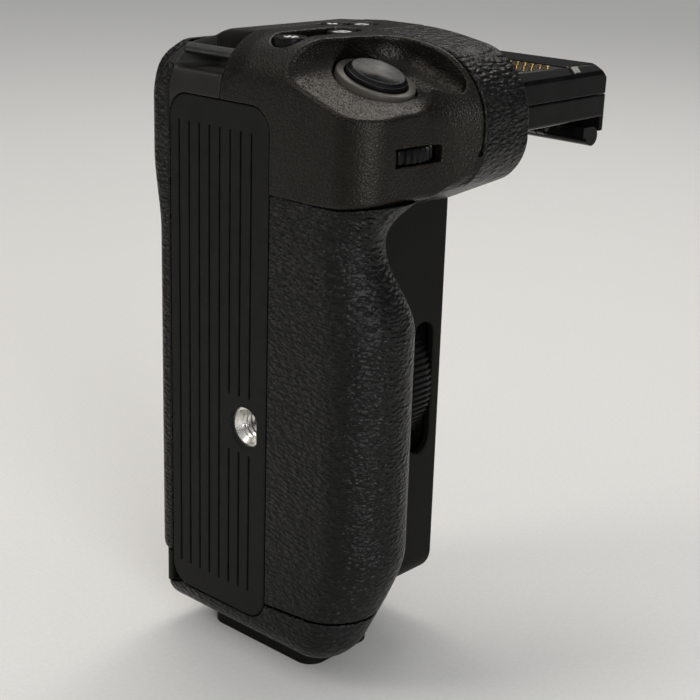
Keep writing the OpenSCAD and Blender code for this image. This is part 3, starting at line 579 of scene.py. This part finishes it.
def head_shell(x, y, z):
    front = head_front(x, y)
    f = np.maximum(rmax(XB - x, front, 8.0), base_edge(x, y, z))
    f = np.maximum(f, rmax(front, lid(y, z), 3 + 9 * step(-30, -26, x)))
    f = rmax(f, chin(y, z, 0, 8, 54.5), 1.2)
    f = rmax(f, seam_line(x, z), 0.35)
    under = rmax(np.maximum(nose(y, z, BAND_T), roof(y, z, BAND_T)), x, 0.4)
    under = np.maximum(under, BAND_X - 0.5 - x)
    top = rmax(rmax(roof(y, z), x, 0.7), -9 - y, 0.4)
    top = np.maximum(top, BAND_X - 2 - x)
    f = np.minimum(np.minimum(f, under), top)
    f = rmax(rmax(f, y - SPLIT, 0.35), ZH - z, 0.2)
    f = cut(f, seat_hollow(x, y, z), 0.7)
    f = cut(f, pad_pocket(x, y, z), 0.3)
    for first, second, r, level in ((0, 1, 3.95, 76.2), (2, 3, 3.3, 77.0)):
        trough = capsule(x, y, BUTTONS[first][:2], BUTTONS[second][:2], r)
        f = cut(f, rmax(trough, level - z, 0.9), 0.5)
    for bx, by, r in BUTTONS:
        f = cut(f, np.maximum(np.hypot(x - bx, y - by) - r - 0.22, ZT - 5.6 - z), 0.15)
    u, v, w = seat_axes(x, y, z)
    away = np.hypot(u, v)
    f = cut(f, np.maximum(away - 8.75, -1.2 - w), 0.2)
    f = np.maximum(f, -np.maximum(away - 6.7, -6.3 - w))
    f = cut(f, np.maximum(dial_window(x, z, FRONT_DIAL, FRONT_DIAL_Z), y + 24), 0.3)
    f = np.maximum(f, -dial_pocket(x, y, z, FRONT_DIAL, FRONT_DIAL_Z))
    hollow = box(x, y, z, (XS, -24, ZH - 4), (1, SPLIT + 1, ZT - 15.2))
    hollow = np.minimum(hollow, box(x, y, z, (-38, -29.3, ZH + 1.8), (BAND_X, -23.9, ZT - 15.8)))
    hollow = np.minimum(hollow, box(x, y, z, (-30, -7, ZT - 16), (BAND_X, SPLIT + 1, ZT - 2.8)))
    inner = np.maximum(np.maximum(nose(y, z, BAND_T + 2.2), roof(y, z, BAND_T + 2.2)), BAND_X + 2 - x)
    hollow = np.minimum(hollow, inner)
    pot = np.maximum(np.maximum(away - 9, w), -8 - w)
    return np.maximum(f, -np.maximum(hollow, -pot))


def strap_pocket(x, y, z):
    sides = np.maximum(SPLIT + 0.2 - y, y - 22.3 + 0.38 * (x + 39))
    return rmax(np.maximum(x + 33.5, sides), 69.5 - z, 1.2)


def rear_button_hole(x, z):
    bx, bz, r = REAR_BUTTON
    return np.hypot(x - bx, z - bz) - r - 0.25


def skin_bed(x, y, z):
    """What the rear skin lies on in the head."""
    return np.maximum(rmax(XB + SKIN - x, y - HEAD_REAR, 3.0), roof(y, z))


SKIN_TOP = 75.1


def rear_shell(x, y, z):
    f = rmax(np.maximum(base_edge(x, y, z), roof(y, z)), x, 1.6)
    f = rmax(rmax(f, SPLIT + 0.2 - y, 0.35), ZH - z, 0.3)
    skinned = (y > PAD[2] + 0.1) & (z < SKIN_TOP + 0.2)
    f = np.where(skinned, np.maximum(f, skin_bed(x, y, z)), f)
    f = cut(f, pad_pocket(x, y, z), 0.3)
    f = cut(f, strap_pocket(x, y, z), 0.5)
    hollow = box(x, y, z, (XS, 7, 46), (-12, RS, 66.5))
    hollow = np.minimum(hollow, box(x, y, z, (-13.6, 7, 46), (1, 22.9, 66.5)))
    hollow = np.minimum(hollow, box(x, y, z, (-33, 7, 65.5), (1, 16, ZT - 4.6)))
    hollow = np.minimum(hollow, np.maximum(roof(y, z, 4.0), -2.4 - x))
    f = np.maximum(f, -hollow)
    f = np.maximum(f, -dial_pocket(x, y, z, REAR_DIAL, REAR_DIAL_Z))
    return np.maximum(f, -rear_button_hole(x, z))


def chin_wedge(x, y, z, inset=0.0):
    """Rubber under the flank, between the swept edge of the head and the sloping chin."""
    f = rmax(head_front(x, y) + inset, chin(y, z, inset, 25, CHIN_LEVEL), CHIN_R)
    f = rmax(f, 0.12 - seam_line(x, z), 0.3)
    f = np.maximum(f, np.maximum(x - BAND_X - 0.6, z - CHIN_LEVEL - 0.6))
    return np.maximum(f, y - FY)


def head_band(x, y, z):
    f = np.maximum(nose(y, z), roof(y, z))
    f = rmax(rmax(f, BAND_X + 0.2 - x, 0.6), x, 1.2)
    f = rmax(f, y + 9.25, 0.6)
    f = cut(f, np.maximum(nose(y, z, BAND_T), roof(y, z, BAND_T)), 0.2)
    f = rmax(f, np.minimum(y - FY, ZH - z), 0.4)
    return np.minimum(f, chin_wedge(x, y, z))


def rear_skin(x, y, z):
    face = y - (REAR + 2 * step(33.5, 51.5, z) - 0.6 * step(-39.5, -42.5, z))
    crown = np.hypot(y - (HEAD_REAR - CROWN_R), z - (ZT - CROWN_R - 1.2)) - CROWN_R - SKIN
    face = np.where(z > ZT - CROWN_R - 1.2, np.maximum(face, crown), face)
    f = np.maximum(rmax(XB - x, face, 3.5), rmax(XB - x, top_face(y, z), 13.0))
    f = rmax(rmax(f, x + 3, 0.6), slab(z, Z_SEAM + 4, SKIN_TOP), 0.6)
    f = rmax(f, PAD[2] + 0.25 - y, 0.4)
    f = np.maximum(f, -np.maximum(np.maximum(XS - x, y - RS), z - ZH))
    f = np.maximum(f, -np.maximum(skin_bed(x, y, z), ZH - z))
    f = cut(f, np.maximum(dial_window(x, z, REAR_DIAL, REAR_DIAL_Z), 20 - y), 0.3)
    f = np.maximum(f, -dial_pocket(x, y, z, REAR_DIAL, REAR_DIAL_Z))
    return cut(f, rear_button_hole(x, z), 0.3)


# handgrip and end cap
def section(z):
    """Radius and centre Y of the handgrip front at height z."""
    z0, z1 = ZH - 27.5, ZH - 8
    rise = 0.5 - 0.5 * np.cos(np.pi * np.clip((z - z0) / (z1 - z0), 0, 1))
    fall = 1 - 0.75 * np.clip((z - z1) / (ZH - z1), 0, 1.2) ** 2
    dip = np.where(z < z1, rise, fall)
    low = np.maximum(Z_SEAM + 18.5 - z, 0)
    taper = np.where(low > 0, np.sqrt((0.48 * low) ** 2 + 9) - 3, 0)
    return 11 - 3 * dip - 0.306 * taper, -22.8 + 2.3 * dip + 0.645 * taper


def grip_form(x, y, z):
    r, c = section(z)
    return np.where(y < c, np.hypot(x - XB - r, y - c), np.abs(x - XB - r)) - r


CORE_Y, CORE_R = -20.2, 6.4


def grip_core(x, y):
    """Front of the body inside the handgrip."""
    return np.where(y < CORE_Y, np.hypot(x - XS - CORE_R, y - CORE_Y), np.abs(x - XS - CORE_R)) - CORE_R


def cap_seam(y):
    """Height of the edge between the handgrip or body and the end cap."""
    return -44.3 - np.where(y < PAD[0], 0.085 * (y - PAD[0]), 0.0055 * (y - PAD[0]) ** 2)


def handgrip(x, y, z):
    top = np.maximum(ZH, 48.56 - (y + 32.8) * 0.1405) - 0.1
    f = rmin(grip_form(x, y, z), chin_wedge(x, y, z, 0.1), 4.0)
    f = rmax(rmax(f, cap_seam(y) + 0.2 - z, 0.5), z - np.where(x < -24, top, 60), 0.25)
    f = rmax(np.maximum(f, XB - x), y - PAD[0] + 0.3, 0.5)
    f = np.maximum(f, -np.maximum(XS - x, FY - y))
    core = grip_core(x, y)
    return np.maximum(f, -np.maximum(core, Z_SEAM + 8 - z))


def end_cap(x, y, z):
    front = np.maximum(grip_form(x, y, z), y + 5)
    behind = rmax(np.maximum(XB - x, -12.5 - y), x + 14, 2.0)
    side = rmin(front, behind, 3.0)
    side = rmax(side, rmax(XB - x, y - RS, 3.0), 0.2)
    f = rmax(side, ZC - z, 6.0)
    f = rmax(f, z - cap_seam(y) + 0.2, 0.5)
    pocket = rrect(y, z, PAD[0] - 0.2, PAD[1] - 0.2, PAD[2] + 0.2, PAD[1] + 40, PAD[4] + 0.2)
    f = cut(f, np.maximum(pocket, x - XS - 0.2), 0.35)
    f = np.maximum(f, -np.maximum(-14.4 - x, Z_DECK - 0.35 - z))
    f = np.maximum(f, -box(x, y, z, (-36.2, -16.2, Z_SEAM - 0.2), (-13, 23.2, -30)))
    return np.maximum(f, -(np.hypot(x + 24.9, y - 3.55) - 2.55))


# base pad
GROOVES = [20.4 - 3.12 * i for i in range(8)]


def base_pad(x, y, z):
    f = rmax(rrect(y, z, *PAD), XB - x, 0.45)
    f = np.maximum(f, x - XS)
    for g in GROOVES:
        spans = ((-42.9, 59.3),) if g > 5.5 else ((-42.9, -10.4), (2.2, 59.3))
        for a, b in spans:
            f = cut(f, rmax(capsule(y, z, (g, a + 0.4), (g, b - 0.4), 0.3), x - XB - 0.6, 0.2), 0.12)
    window = np.maximum(np.hypot(y, z - SOCKET_Z) - 4.5, -3.65 - y)
    f = cut(f, window, 0.3)
    return np.maximum(f, -np.maximum(np.hypot(y, z - SOCKET_Z) - 5.45, -43.0 - x))


# body and tower
def body_shell(x, y, z):
    f = box(x, y, z, (XS, FY, -60), (-14, RS, ZH))
    f = np.maximum(f, cap_seam(y) - z)
    lip = rmax(XB - x, y - RS, 3.0)
    lip = np.maximum(lip, PAD[2] + 0.2 - y)
    lip = np.maximum(lip, np.maximum(x - XS - 1, slab(z, -60, Z_SEAM + 3.9)))
    f = np.minimum(f, np.maximum(lip, cap_seam(y) - z))
    foot = rmax(rrect(y, z, FY, Z_DECK, RS, ZH + 20, 6.0), x, 0.8)
    f = np.minimum(f, np.maximum(np.maximum(foot, -14 - x), z - ZH))
    f = np.minimum(f, box(x, y, z, (XS, FY, ZH - 1), (-12, RS, 52.4)))
    f = np.minimum(f, box(x, y, z, (-34, -26, 50.6), (-25, FY + 1, 52.4)))
    core = grip_core(x, y)
    f = np.minimum(f, np.maximum(np.maximum(core, slab(z, Z_SEAM + 8, ZH)), y - FY - 0.1))
    f = np.maximum(f, -box(x, y, z, (-35.8, -15.8, -200), (-13.6, 22.9, 50.4)))
    room = box(x, y, z, (-12, -15.8, Z_SEAM), (50, 22.9, ZH - 2))
    for by in (-11, 17):
        for bz in (Z_SEAM + 8, ZH - 7.5):
            away = np.hypot(y - by, z - bz)
            room = np.maximum(room, -np.maximum(away - 3, x + 2.4))
            f = np.maximum(f, -np.maximum(away - 1.3, -12 - x))
    f = np.maximum(f, -room)
    f = np.maximum(f, -box(x, y, z, (-2.4, -15.8, ZH - 5), (50, 22.9, ZH + 1)))
    slot = np.maximum(capsule(x, z, (WHEEL_X, -11.9), (WHEEL_X, 11.9), 3.6), y - FY - 3)
    f = cut(f, slot, 0.5)
    f = np.maximum(f, -np.maximum(np.hypot(y, z) - 4.05, slab(x, -14.6, -11)))
    f = np.maximum(f, -box(x, y, z, (-14.6, -0.45, -45.1), (-11, 14.55, -42.3)))
    return np.maximum(f, -np.maximum(np.hypot(y, z - SOCKET_Z) - 5.45, x + 34.8))


TOWER_Y, TOWER_TOP = (-29.0, 9.0), 70.0
TOWER_SIDE = [(-1, 54), (-1, 70), (38.5, 69.4), (41.5, 66.4), (41.3, 54), (40.1, 54), (40.1, 57.2),
              (12, 57.2), (12, 54)]
PART_Z = 62.6


def tower(x, y, z):
    side = poly(x, z, TOWER_SIDE)
    f = rmax(side + 0.5, slab(y, *TOWER_Y) + 0.5, 0.4) - 0.5
    bevel = ((TOWER_Y[0] + 2.4 - y) + (z - TOWER_TOP)) / math.sqrt(2)
    f = rmax(f, bevel, 0.5)
    f = np.maximum(f, -x)
    return np.maximum(f, -box(x, y, z, (-1, TOWER_Y[0] + 2, 59.2), (38.5, TOWER_Y[1] - 2, 67.8)))


def clip_gap(x, y, z):
    """Slot for the small metal catch in the bevelled edge."""
    p, q = y + 27.9, z - 68.5
    c = math.sqrt(0.5)
    across = np.maximum(slab(p * c + q * c, -0.9, 0.9), slab(q * c - p * c, -0.7, 0.7))
    return np.maximum(slab(x, 27.9, 30.5), across)


def tower_shell(x, y, z):
    f = rmax(tower(x, y, z), z - PART_Z + 0.08, 0.25)
    for ly in (-20.0, -2.0):
        lug = np.hypot(x - 31.5, z - 54.6) - 1.6
        lug = np.minimum(lug, box(x, 0 * y, z, (29.9, -1, 54.6), (33.1, 1, 57.4)))
        lug = np.maximum(lug, slab(y, ly, ly + 2))
        f = np.minimum(f, np.maximum(lug, 0.8 - np.hypot(x - 31.5, z - 54.6)))
    return f


def tower_cover(x, y, z):
    f = rmax(tower(x, y, z), PART_Z + 0.08 - z, 0.25)
    f = cut(f, box(x, y, z, (12, -26.8, 67.7), (28, -5, 72)), 0.3)
    return np.maximum(f, -clip_gap(x, y, z))


# turned, ribbed and threaded pieces
def layers(rings):
    """Quads between equal rings of points, one ring after the other."""
    n = len(rings[0])
    verts = [p for ring in rings for p in ring]
    faces = []
    for k in range(len(rings) - 1):
        for i in range(n):
            j = (i + 1) % n
            faces.append((k * n + i, k * n + j, (k + 1) * n + j, (k + 1) * n + i))
    return verts, faces


RIB_SPOTS = 10


def ribbed(teeth, r, deep, hole, width, edge):
    """Rings of a wheel with rounded ribs about local Z, from its hole round to its hole again."""
    turn = np.arange(teeth * RIB_SPOTS) / RIB_SPOTS
    part = turn % 1
    valley = step(0.36, 0.54, part) * (1 - step(0.82, 0.99, part))
    crown = 0.06 * (1 - ((part - 0.19) / 0.36) ** 2) * (part < 0.4)
    radius = r - 0.06 - deep * valley + crown
    angle = 2 * np.pi * turn / teeth
    rings = []
    for h, inset in ((0, None), (0, edge), (0.3 * edge, 0.3 * edge), (edge, 0), (width - edge, 0),
                     (width - 0.3 * edge, 0.3 * edge), (width, edge), (width, None), (0, None)):
        q = np.full(len(angle), hole) if inset is None else radius - inset
        rings.append(np.stack([q * np.cos(angle), q * np.sin(angle), np.full(len(angle), h)], 1))
    return rings


def thread(r, deep, x0, x1, ends, pitch=1.27, around=72, along=0.07):
    """Rings of a screw thread about X. ends gives the largest radius allowed at each X."""
    angle = np.linspace(0, 2 * np.pi, around, endpoint=False)
    rings = []
    for x in np.linspace(x0, x1, int((x1 - x0) / along) + 1):
        phase = (x / pitch - angle / (2 * np.pi)) % 1
        tooth = np.clip((np.abs(phase - 0.5) * 2 - 0.12) / 0.76, 0, 1)
        q = ends(x, r - deep * tooth)
        rings.append(np.stack([np.full(around, x), q * np.cos(angle), q * np.sin(angle)], 1))
    return rings


def circle_x(x, q, around=72):
    angle = np.linspace(0, 2 * np.pi, around, endpoint=False)
    return np.stack([np.full(around, x), q * np.cos(angle), q * np.sin(angle)], 1)


def moved(rings, at):
    return [ring + np.array(at) for ring in rings]


def turned_profile(points, n=96):
    """Closed rings of a (radius, height) outline about local Z."""
    angle = np.linspace(0, 2 * np.pi, n, endpoint=False)
    return [np.stack([r * np.cos(angle), r * np.sin(angle), np.full(n, h)], 1) for r, h in points]


def piece(name, rings, material, body, stands_for=(), place=None, crisp=32):
    verts, faces = layers(rings)
    ob = make(name, verts, faces, material, body, stands_for, place=place)
    weld(ob)
    return sharpen(ob, crisp)


def seat_place():
    turn = Matrix.Rotation(TILT, 4, "X")
    return Matrix.Translation(Vector(SEAT) * MM) @ turn


def fillet(r0, h0, r1, h1, bulge, n=5):
    """Points of a quarter-round between two ends; bulge names the coordinate that moves first."""
    out = []
    for k in range(n + 1):
        a = math.pi / 2 * k / n
        s, c = math.sin(a), 1 - math.cos(a)
        u, v = (s, c) if bulge == "r" else (c, s)
        out.append((r0 + (r1 - r0) * u, h0 + (h1 - h0) * v))
    return out


# hidden and small nodes keep their CAD mesh
CARRIED = {
    "deck_plate": "body",
    "deck_screws": "dark_steel",
    "deck_gasket": "pad",
    "locating_pins": "steel",
    "contact_block": "inner",
    "contact_pins": "gold",
    "tower_clip": "steel",
    "tower_catch": "gloss",
    "catch_pin": "steel",
    "strap_bar": "dark_steel",
    "chassis_plate": "alloy",
    "circuit_board": "board",
    "head_cable": "flex",
    "bay_contact_block": "inner",
    "bay_contact_fingers": "gold",
    "battery_tray": "inner",
    "battery_upper": "pack",
    "battery_lower": "pack",
    "tray_contacts": "gold",
    "foot_plate": "body",
    "latch_knob": "keys",
    "latch_tongue": "alloy",
    "shutter_switch": "inner",
    "front_dial_axle": "steel",
    "rear_dial_axle": "steel",
}
BEVELS = {
    "deck_plate": 0.3,
    "contact_block": 0.2,
    "tower_catch": 0.3,
    "chassis_plate": 0.15,
    "battery_tray": 0.2,
    "battery_upper": 0.5,
    "battery_lower": 0.5,
    "foot_plate": 0.5,
    "latch_knob": 0.35,
    "contact_pins": 0.12,
    "deck_screws": 0.12,
    "strap_bar": 0.15,
}
for node, key in CARRIED.items():
    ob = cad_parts[node]
    for slot in ob.material_slots:
        slot.material = M[key]
    if node in BEVELS:
        bevel = ob.modifiers.new("edges", "BEVEL")
        bevel.width = BEVELS[node] * MM
        bevel.segments = 2
        bevel.limit_method = "ANGLE"
        bevel.angle_limit = math.radians(40)
        bevel.use_clamp_overlap = True

# grids of the moulded pieces, by the node that each stands for
FINE_PITCH = 0.34
HEAD_X, HEAD_Z = axis(-45, 1, FINE_PITCH), axis(46.5, 79.5, FINE_PITCH)
TOWER_GRID = (axis(-0.8, 42.4, 0.36), axis(-30, 10, 0.36))
GRIDS = {
    "head_shell": (HEAD_X, axis(-39, 9, FINE_PITCH), HEAD_Z),
    "rear_shell": (HEAD_X, axis(7.4, 30, FINE_PITCH), HEAD_Z),
    "head_band": (axis(-27, 0.8, FINE_PITCH), axis(-38.8, -8, FINE_PITCH), axis(41.6, 79, FINE_PITCH)),
    "rear_skin": (axis(-45, -2, 0.42), axis(22.6, 31.4, 0.3),
                  axis(-42.4, 76, 0.5, [(-42.5, -40, 0.25), (54, 76, 0.32)])),
    "handgrip_skin": (axis(-44.9, -13.6, 0.42), axis(-38.6, -5.6, 0.42, [(-7.5, -5.5, 0.2)]),
                      axis(-45.4, 56, 0.5, [(-45.4, -41.4, 0.25), (42, 56, 0.3)])),
    "end_cap": (axis(-44.9, -13, 0.36), axis(-32, 28, 0.4), axis(-55.6, -41.4, 0.3)),
    "base_pad": (axis(-44.4, -41, 0.17), axis(-7, 24, 0.15),
                 axis(-49.6, 66, 0.55, [(-43.8, -42, 0.16), (-11.4, 3.4, 0.2), (58.2, 59.9, 0.16)])),
    "body_shell": (axis(-44.9, 0.9, 0.55, [(-44.9, -42, 0.3), (-11.2, -2, 0.25)]),
                   axis(-28, 28, 0.5, [(-18.6, -16.6, 0.2), (23, 28, 0.3)]),
                   axis(-51.5, 53.4, 0.6, [(-51.5, -40, 0.35), (-17, 17, 0.4)])),
    "tower_shell": (*TOWER_GRID, axis(52, 63.4, 0.33)),
    "tower_cover": (*TOWER_GRID, axis(61.8, 71, 0.33)),
}
for name, field, key, body, slot, node in (
    ("head", head_shell, "head", "grip", "head_plastic", "head_shell"),
    ("rear", rear_shell, "rear", "grip", "rear_plastic", "rear_shell"),
    ("band", head_band, "leather", "grip", "band_rubber", "head_band"),
    ("thumb_skin", rear_skin, "leather", "grip", "rear_rubber", "rear_skin"),
    ("handgrip", handgrip, "leather", "grip", "grip_rubber", "handgrip_skin"),
    ("cap", end_cap, "leather", "tray", "cap_rubber", "end_cap"),
    ("pad", base_pad, "pad", "grip", "pad_rubber", "base_pad"),
    ("body", body_shell, "body", "grip", "body_plastic", "body_shell"),
    ("tower_base", tower_shell, "gloss", "grip", "tower_plastic", "tower_shell"),
    ("tower_lid", tower_cover, "gloss", "grip", "tower_plastic", "tower_cover"),
):
    solid(name, field, GRIDS[node], M[key], body, [node])

# tripod bushing with its thread, and the camera screw
BORE = 3.175
BUSH_FACE, BUSH_END = -43.0, -36.2


def countersunk(x, q):
    """Radius of the bushing's thread, wider at its mouth."""
    return np.maximum(q, BORE + 0.7 - (x - BUSH_FACE))


def tapered(x, q):
    """Radius of the screw's thread, narrower at its tip."""
    return np.minimum(q, BORE - np.clip(x - 4.4, 0, 0.8))


bushing_rings = [circle_x(BUSH_END - 0.6, 0.01)]
bushing_rings += thread(BORE, 0.55, BUSH_FACE, BUSH_END - 0.6, countersunk)[::-1]
bushing_rings += [circle_x(BUSH_FACE, 5.2), circle_x(BUSH_FACE + 0.2, 5.4)]
bushing_rings += [circle_x(BUSH_END, 5.4), circle_x(BUSH_END, 0.01)]
piece("bushing", moved(bushing_rings, (0, 0, SOCKET_Z)), M["thread"], "grip",
      ["tripod_bushing"])
screw_rings = [circle_x(-6.6, 0.01), circle_x(-6.6, 2.9), circle_x(-0.2, 2.9)]
screw_rings += thread(BORE, 0.5, 0.0, 5.2, tapered)
screw_rings += [circle_x(5.2, 0.01)]
piece("screw", screw_rings, M["thread"], "wheel", ["camera_screw"])

# wheel and dials
WHEEL_TEETH, DIAL_TEETH = 84, 40
wheel_rings = []
for ring in ribbed(WHEEL_TEETH, WHEEL_R, 0.5, 2.9, WHEEL_W, 0.5):
    wheel_rings.append(np.stack([ring[:, 2] + WHEEL_X - WHEEL_W / 2, ring[:, 0], ring[:, 1]], 1))
around = WHEEL_TEETH * RIB_SPOTS
hub = [circle_x(x, q, around) for x, q in ((-13.4, 0.01), (-13.4, 3.8), (-13.2, 4.0), (-9.6, 4.0))]
bore = [circle_x(x, q, around) for x, q in ((-3.6, 2.9), (-6.6, 2.9), (-6.6, 0.01))]
piece("wheel", hub + wheel_rings[1:7] + bore, M["dial"], "wheel", ["attaching_wheel"])
dial_rings = ribbed(DIAL_TEETH, DIAL_R, 0.5, 1.55, DIAL_W, 0.35)
for body, node, at, low in (
    ("dial_front", "front_dial", FRONT_DIAL, FRONT_DIAL_Z),
    ("dial_rear", "rear_dial", REAR_DIAL, REAR_DIAL_Z),
):
    piece(body, moved(dial_rings, (*at, low)), M["dial"], body, [node])

# shutter button and its collar
cap_profile = [(0.01, -4), (2, -4), (2, -2), (6.3, -2)]
cap_profile += fillet(6.3, 1.3, 6.1, 1.5, "h") + fillet(5.5, 2.15, 5.35, 2.2, "r")
cap_profile += [(q, 2.2 - 0.34 * (1 - (q / 5.3) ** 2)) for q in np.linspace(5.1, 0.01, 16)]
piece("shutter", turned_profile(cap_profile), M["cap"], "shutter", ["shutter_button"],
      seat_place(), 24)
collar = [(6.65, -1.2), (8.3, -1.2), (8.3, 0.2)] + fillet(8.3, 0.35, 7.95, 0.7, "h")
collar += fillet(6.95, 0.7, 6.65, 0.4, "r") + [(6.65, -1.2)]
piece("collar", turned_profile(collar), M["ring"], "grip", ["shutter_ring"],
      seat_place(), 40)

# round buttons, with plain printed signs
KEY_TOPS = (78.2, 78.2, 78.5, 78.5)


def key_profile(r, low, top, dish):
    """Outline of a round button with a shallow dish."""
    out = [(0.01, low), (r, low), (r, top - 0.45)] + fillet(r, top - 0.4, r - 0.35, top, "h")
    out += [(r - 0.6, top)] + fillet(r - 0.75, top - 0.03, r - 1.0, top - dish, "r")
    return out + [(0.01, top - dish)]


for letter, (bx, by, r), top in zip("abcd", BUTTONS, KEY_TOPS):
    rings = moved(turned_profile(key_profile(r, 74.1, top, 0.12), 72), (bx, by, 0))
    piece("key_" + letter, rings, M["keys"], "key_" + letter, ["button_" + letter])
back_x, back_z, back_r = REAR_BUTTON
back = turned_profile(key_profile(back_r, 25.7, 31.0, 0.15), 72)
back = [np.stack([ring[:, 0] + back_x, ring[:, 2], -ring[:, 1] + back_z], 1) for ring in back]
piece("key_rear", back, M["keys"], "key_rear", ["rear_action_button"])


def bar(verts, faces, a, b, w, z0, z1):
    """One printed stroke from a to b."""
    d = np.array(b) - np.array(a)
    side = np.array((-d[1], d[0])) / np.linalg.norm(d) * w / 2
    n = len(verts)
    for z in (z0, z1):
        for p in (np.array(a) + side, np.array(a) - side, np.array(b) - side, np.array(b) + side):
            verts.append((p[0], p[1], z))
    faces += [(n, n + 1, n + 2, n + 3), (n + 7, n + 6, n + 5, n + 4)]
    for k in range(4):
        j = (k + 1) % 4
        faces.append((n + k, n + 4 + k, n + 4 + j, n + j))


def sign(letter, strokes, width=0.5):
    bx, by, _ = BUTTONS["abcd".index(letter)]
    top = KEY_TOPS["abcd".index(letter)]
    verts, faces = [], []
    for a, b in strokes:
        bar(verts, faces, (bx + a[0], by + a[1]), (bx + b[0], by + b[1]), width, top - 0.16, top - 0.06)
    ob = make("sign_" + letter, verts, faces, M["ink"], "key_" + letter)
    weld(ob, 1e-9)
    return sharpen(ob, 20)


def star(r, n=3):
    return [((-r * math.cos(math.pi * k / n), -r * math.sin(math.pi * k / n)),
             (r * math.cos(math.pi * k / n), r * math.sin(math.pi * k / n))) for k in range(n)]


def frame_sign(w, h):
    a, b, c, d = (-w, -h), (w, -h), (w, h), (-w, h)
    return [(a, b), (b, c), (c, d), (d, a)]


sign("a", star(1.5, 3))
sign("b", frame_sign(1.5, 1.1) + [((-0.6, 0), (0.6, 0))], 0.4)
sign("c", star(1.4, 2), 0.45)
sign("d", frame_sign(1.1, 0.9), 0.4)

# camera, light and floor
scene = bpy.context.scene
CAMERA_AT, LENS_MM = (-0.251735, -0.216834, 0.114122), 77.35
BACK = Vector((-0.7047, -0.6345, 0.3173)).normalized()
RIGHT = Vector((0, 0, 1)).cross(BACK).normalized()
UP = BACK.cross(RIGHT)
ROLL = math.radians(1.78)
right = RIGHT * math.cos(ROLL) + UP * math.sin(ROLL)
up = UP * math.cos(ROLL) - RIGHT * math.sin(ROLL)
data = bpy.data.cameras.new("camera")
data.lens, data.sensor_width, data.clip_start = LENS_MM, 36.0, 0.01
camera = bpy.data.objects.new("camera", data)
place = Matrix((right, up, BACK)).transposed().to_4x4()
place.translation = CAMERA_AT
camera.matrix_world = place
scene.collection.objects.link(camera)
scene.camera = camera


def lamp(name, at, aim, size, power, colour=(1, 1, 1)):
    light = bpy.data.lights.new(name, "AREA")
    light.shape = "RECTANGLE"
    light.size, light.size_y = size
    light.energy, light.color = power, colour
    ob = bpy.data.objects.new(name, light)
    ob.location = at
    ob.rotation_euler = (Vector(aim) - Vector(at)).to_track_quat("-Z", "Y").to_euler()
    scene.collection.objects.link(ob)


WARM = (1.0, 0.95, 0.87)
sky = bpy.data.lights.new("sky", "SUN")
sky.energy, sky.angle = 1.25, math.radians(120)
scene.collection.objects.link(bpy.data.objects.new("sky", sky))
lamp("key", (0.22, 0.24, 0.85), (0, 0, 0.06), (0.5, 0.26), 2.6, WARM)
lamp("back_left", (-0.7, 0.42, 0.6), (0, 0, 0.06), (0.3, 0.6), 2.2, WARM)
lamp("right", (0.7, 0.26, 0.7), (0, 0, 0.06), (0.3, 0.3), 0.9, WARM)
lamp("front", (-0.48, -0.98, 0.26), (-0.03, -0.03, 0.03), (0.5, 0.28), 7.0)

bm = bmesh.new()
bmesh.ops.create_grid(bm, x_segments=2, y_segments=2, size=8.0)
floor_mesh = bpy.data.meshes.new("floor")
bm.to_mesh(floor_mesh)
bm.free()
floor = bpy.data.objects.new("floor", floor_mesh)
floor.location = (0, 0, ZF * MM)
scene.collection.objects.link(floor)
paper = Nodes("pale_paper")
tone = paper.noise(0.9, 3.0, 0.6)
floor_mesh.materials.append(
    paper.finish(paper.mix(paper.ramp(tone, 0.3, 0.7), (0.72, 0.72, 0.71), (0.75, 0.75, 0.74)), 0.75,
                 paper.bump(tone, 0.01))
)

world = bpy.data.worlds.new("studio")
world.use_nodes = True
tree = world.node_tree
path = tree.nodes.new("ShaderNodeLightPath")
seen = tree.nodes.new("ShaderNodeMix")
seen.data_type = "RGBA"
seen.inputs[6].default_value = (0.06, 0.06, 0.062, 1)
seen.inputs[7].default_value = (0.8, 0.8, 0.8, 1)
tree.links.new(path.outputs["Is Camera Ray"], seen.inputs[0])
tree.links.new(seen.outputs[2], tree.nodes["Background"].inputs["Color"])
scene.world = world
scene.view_settings.view_transform = "Standard"
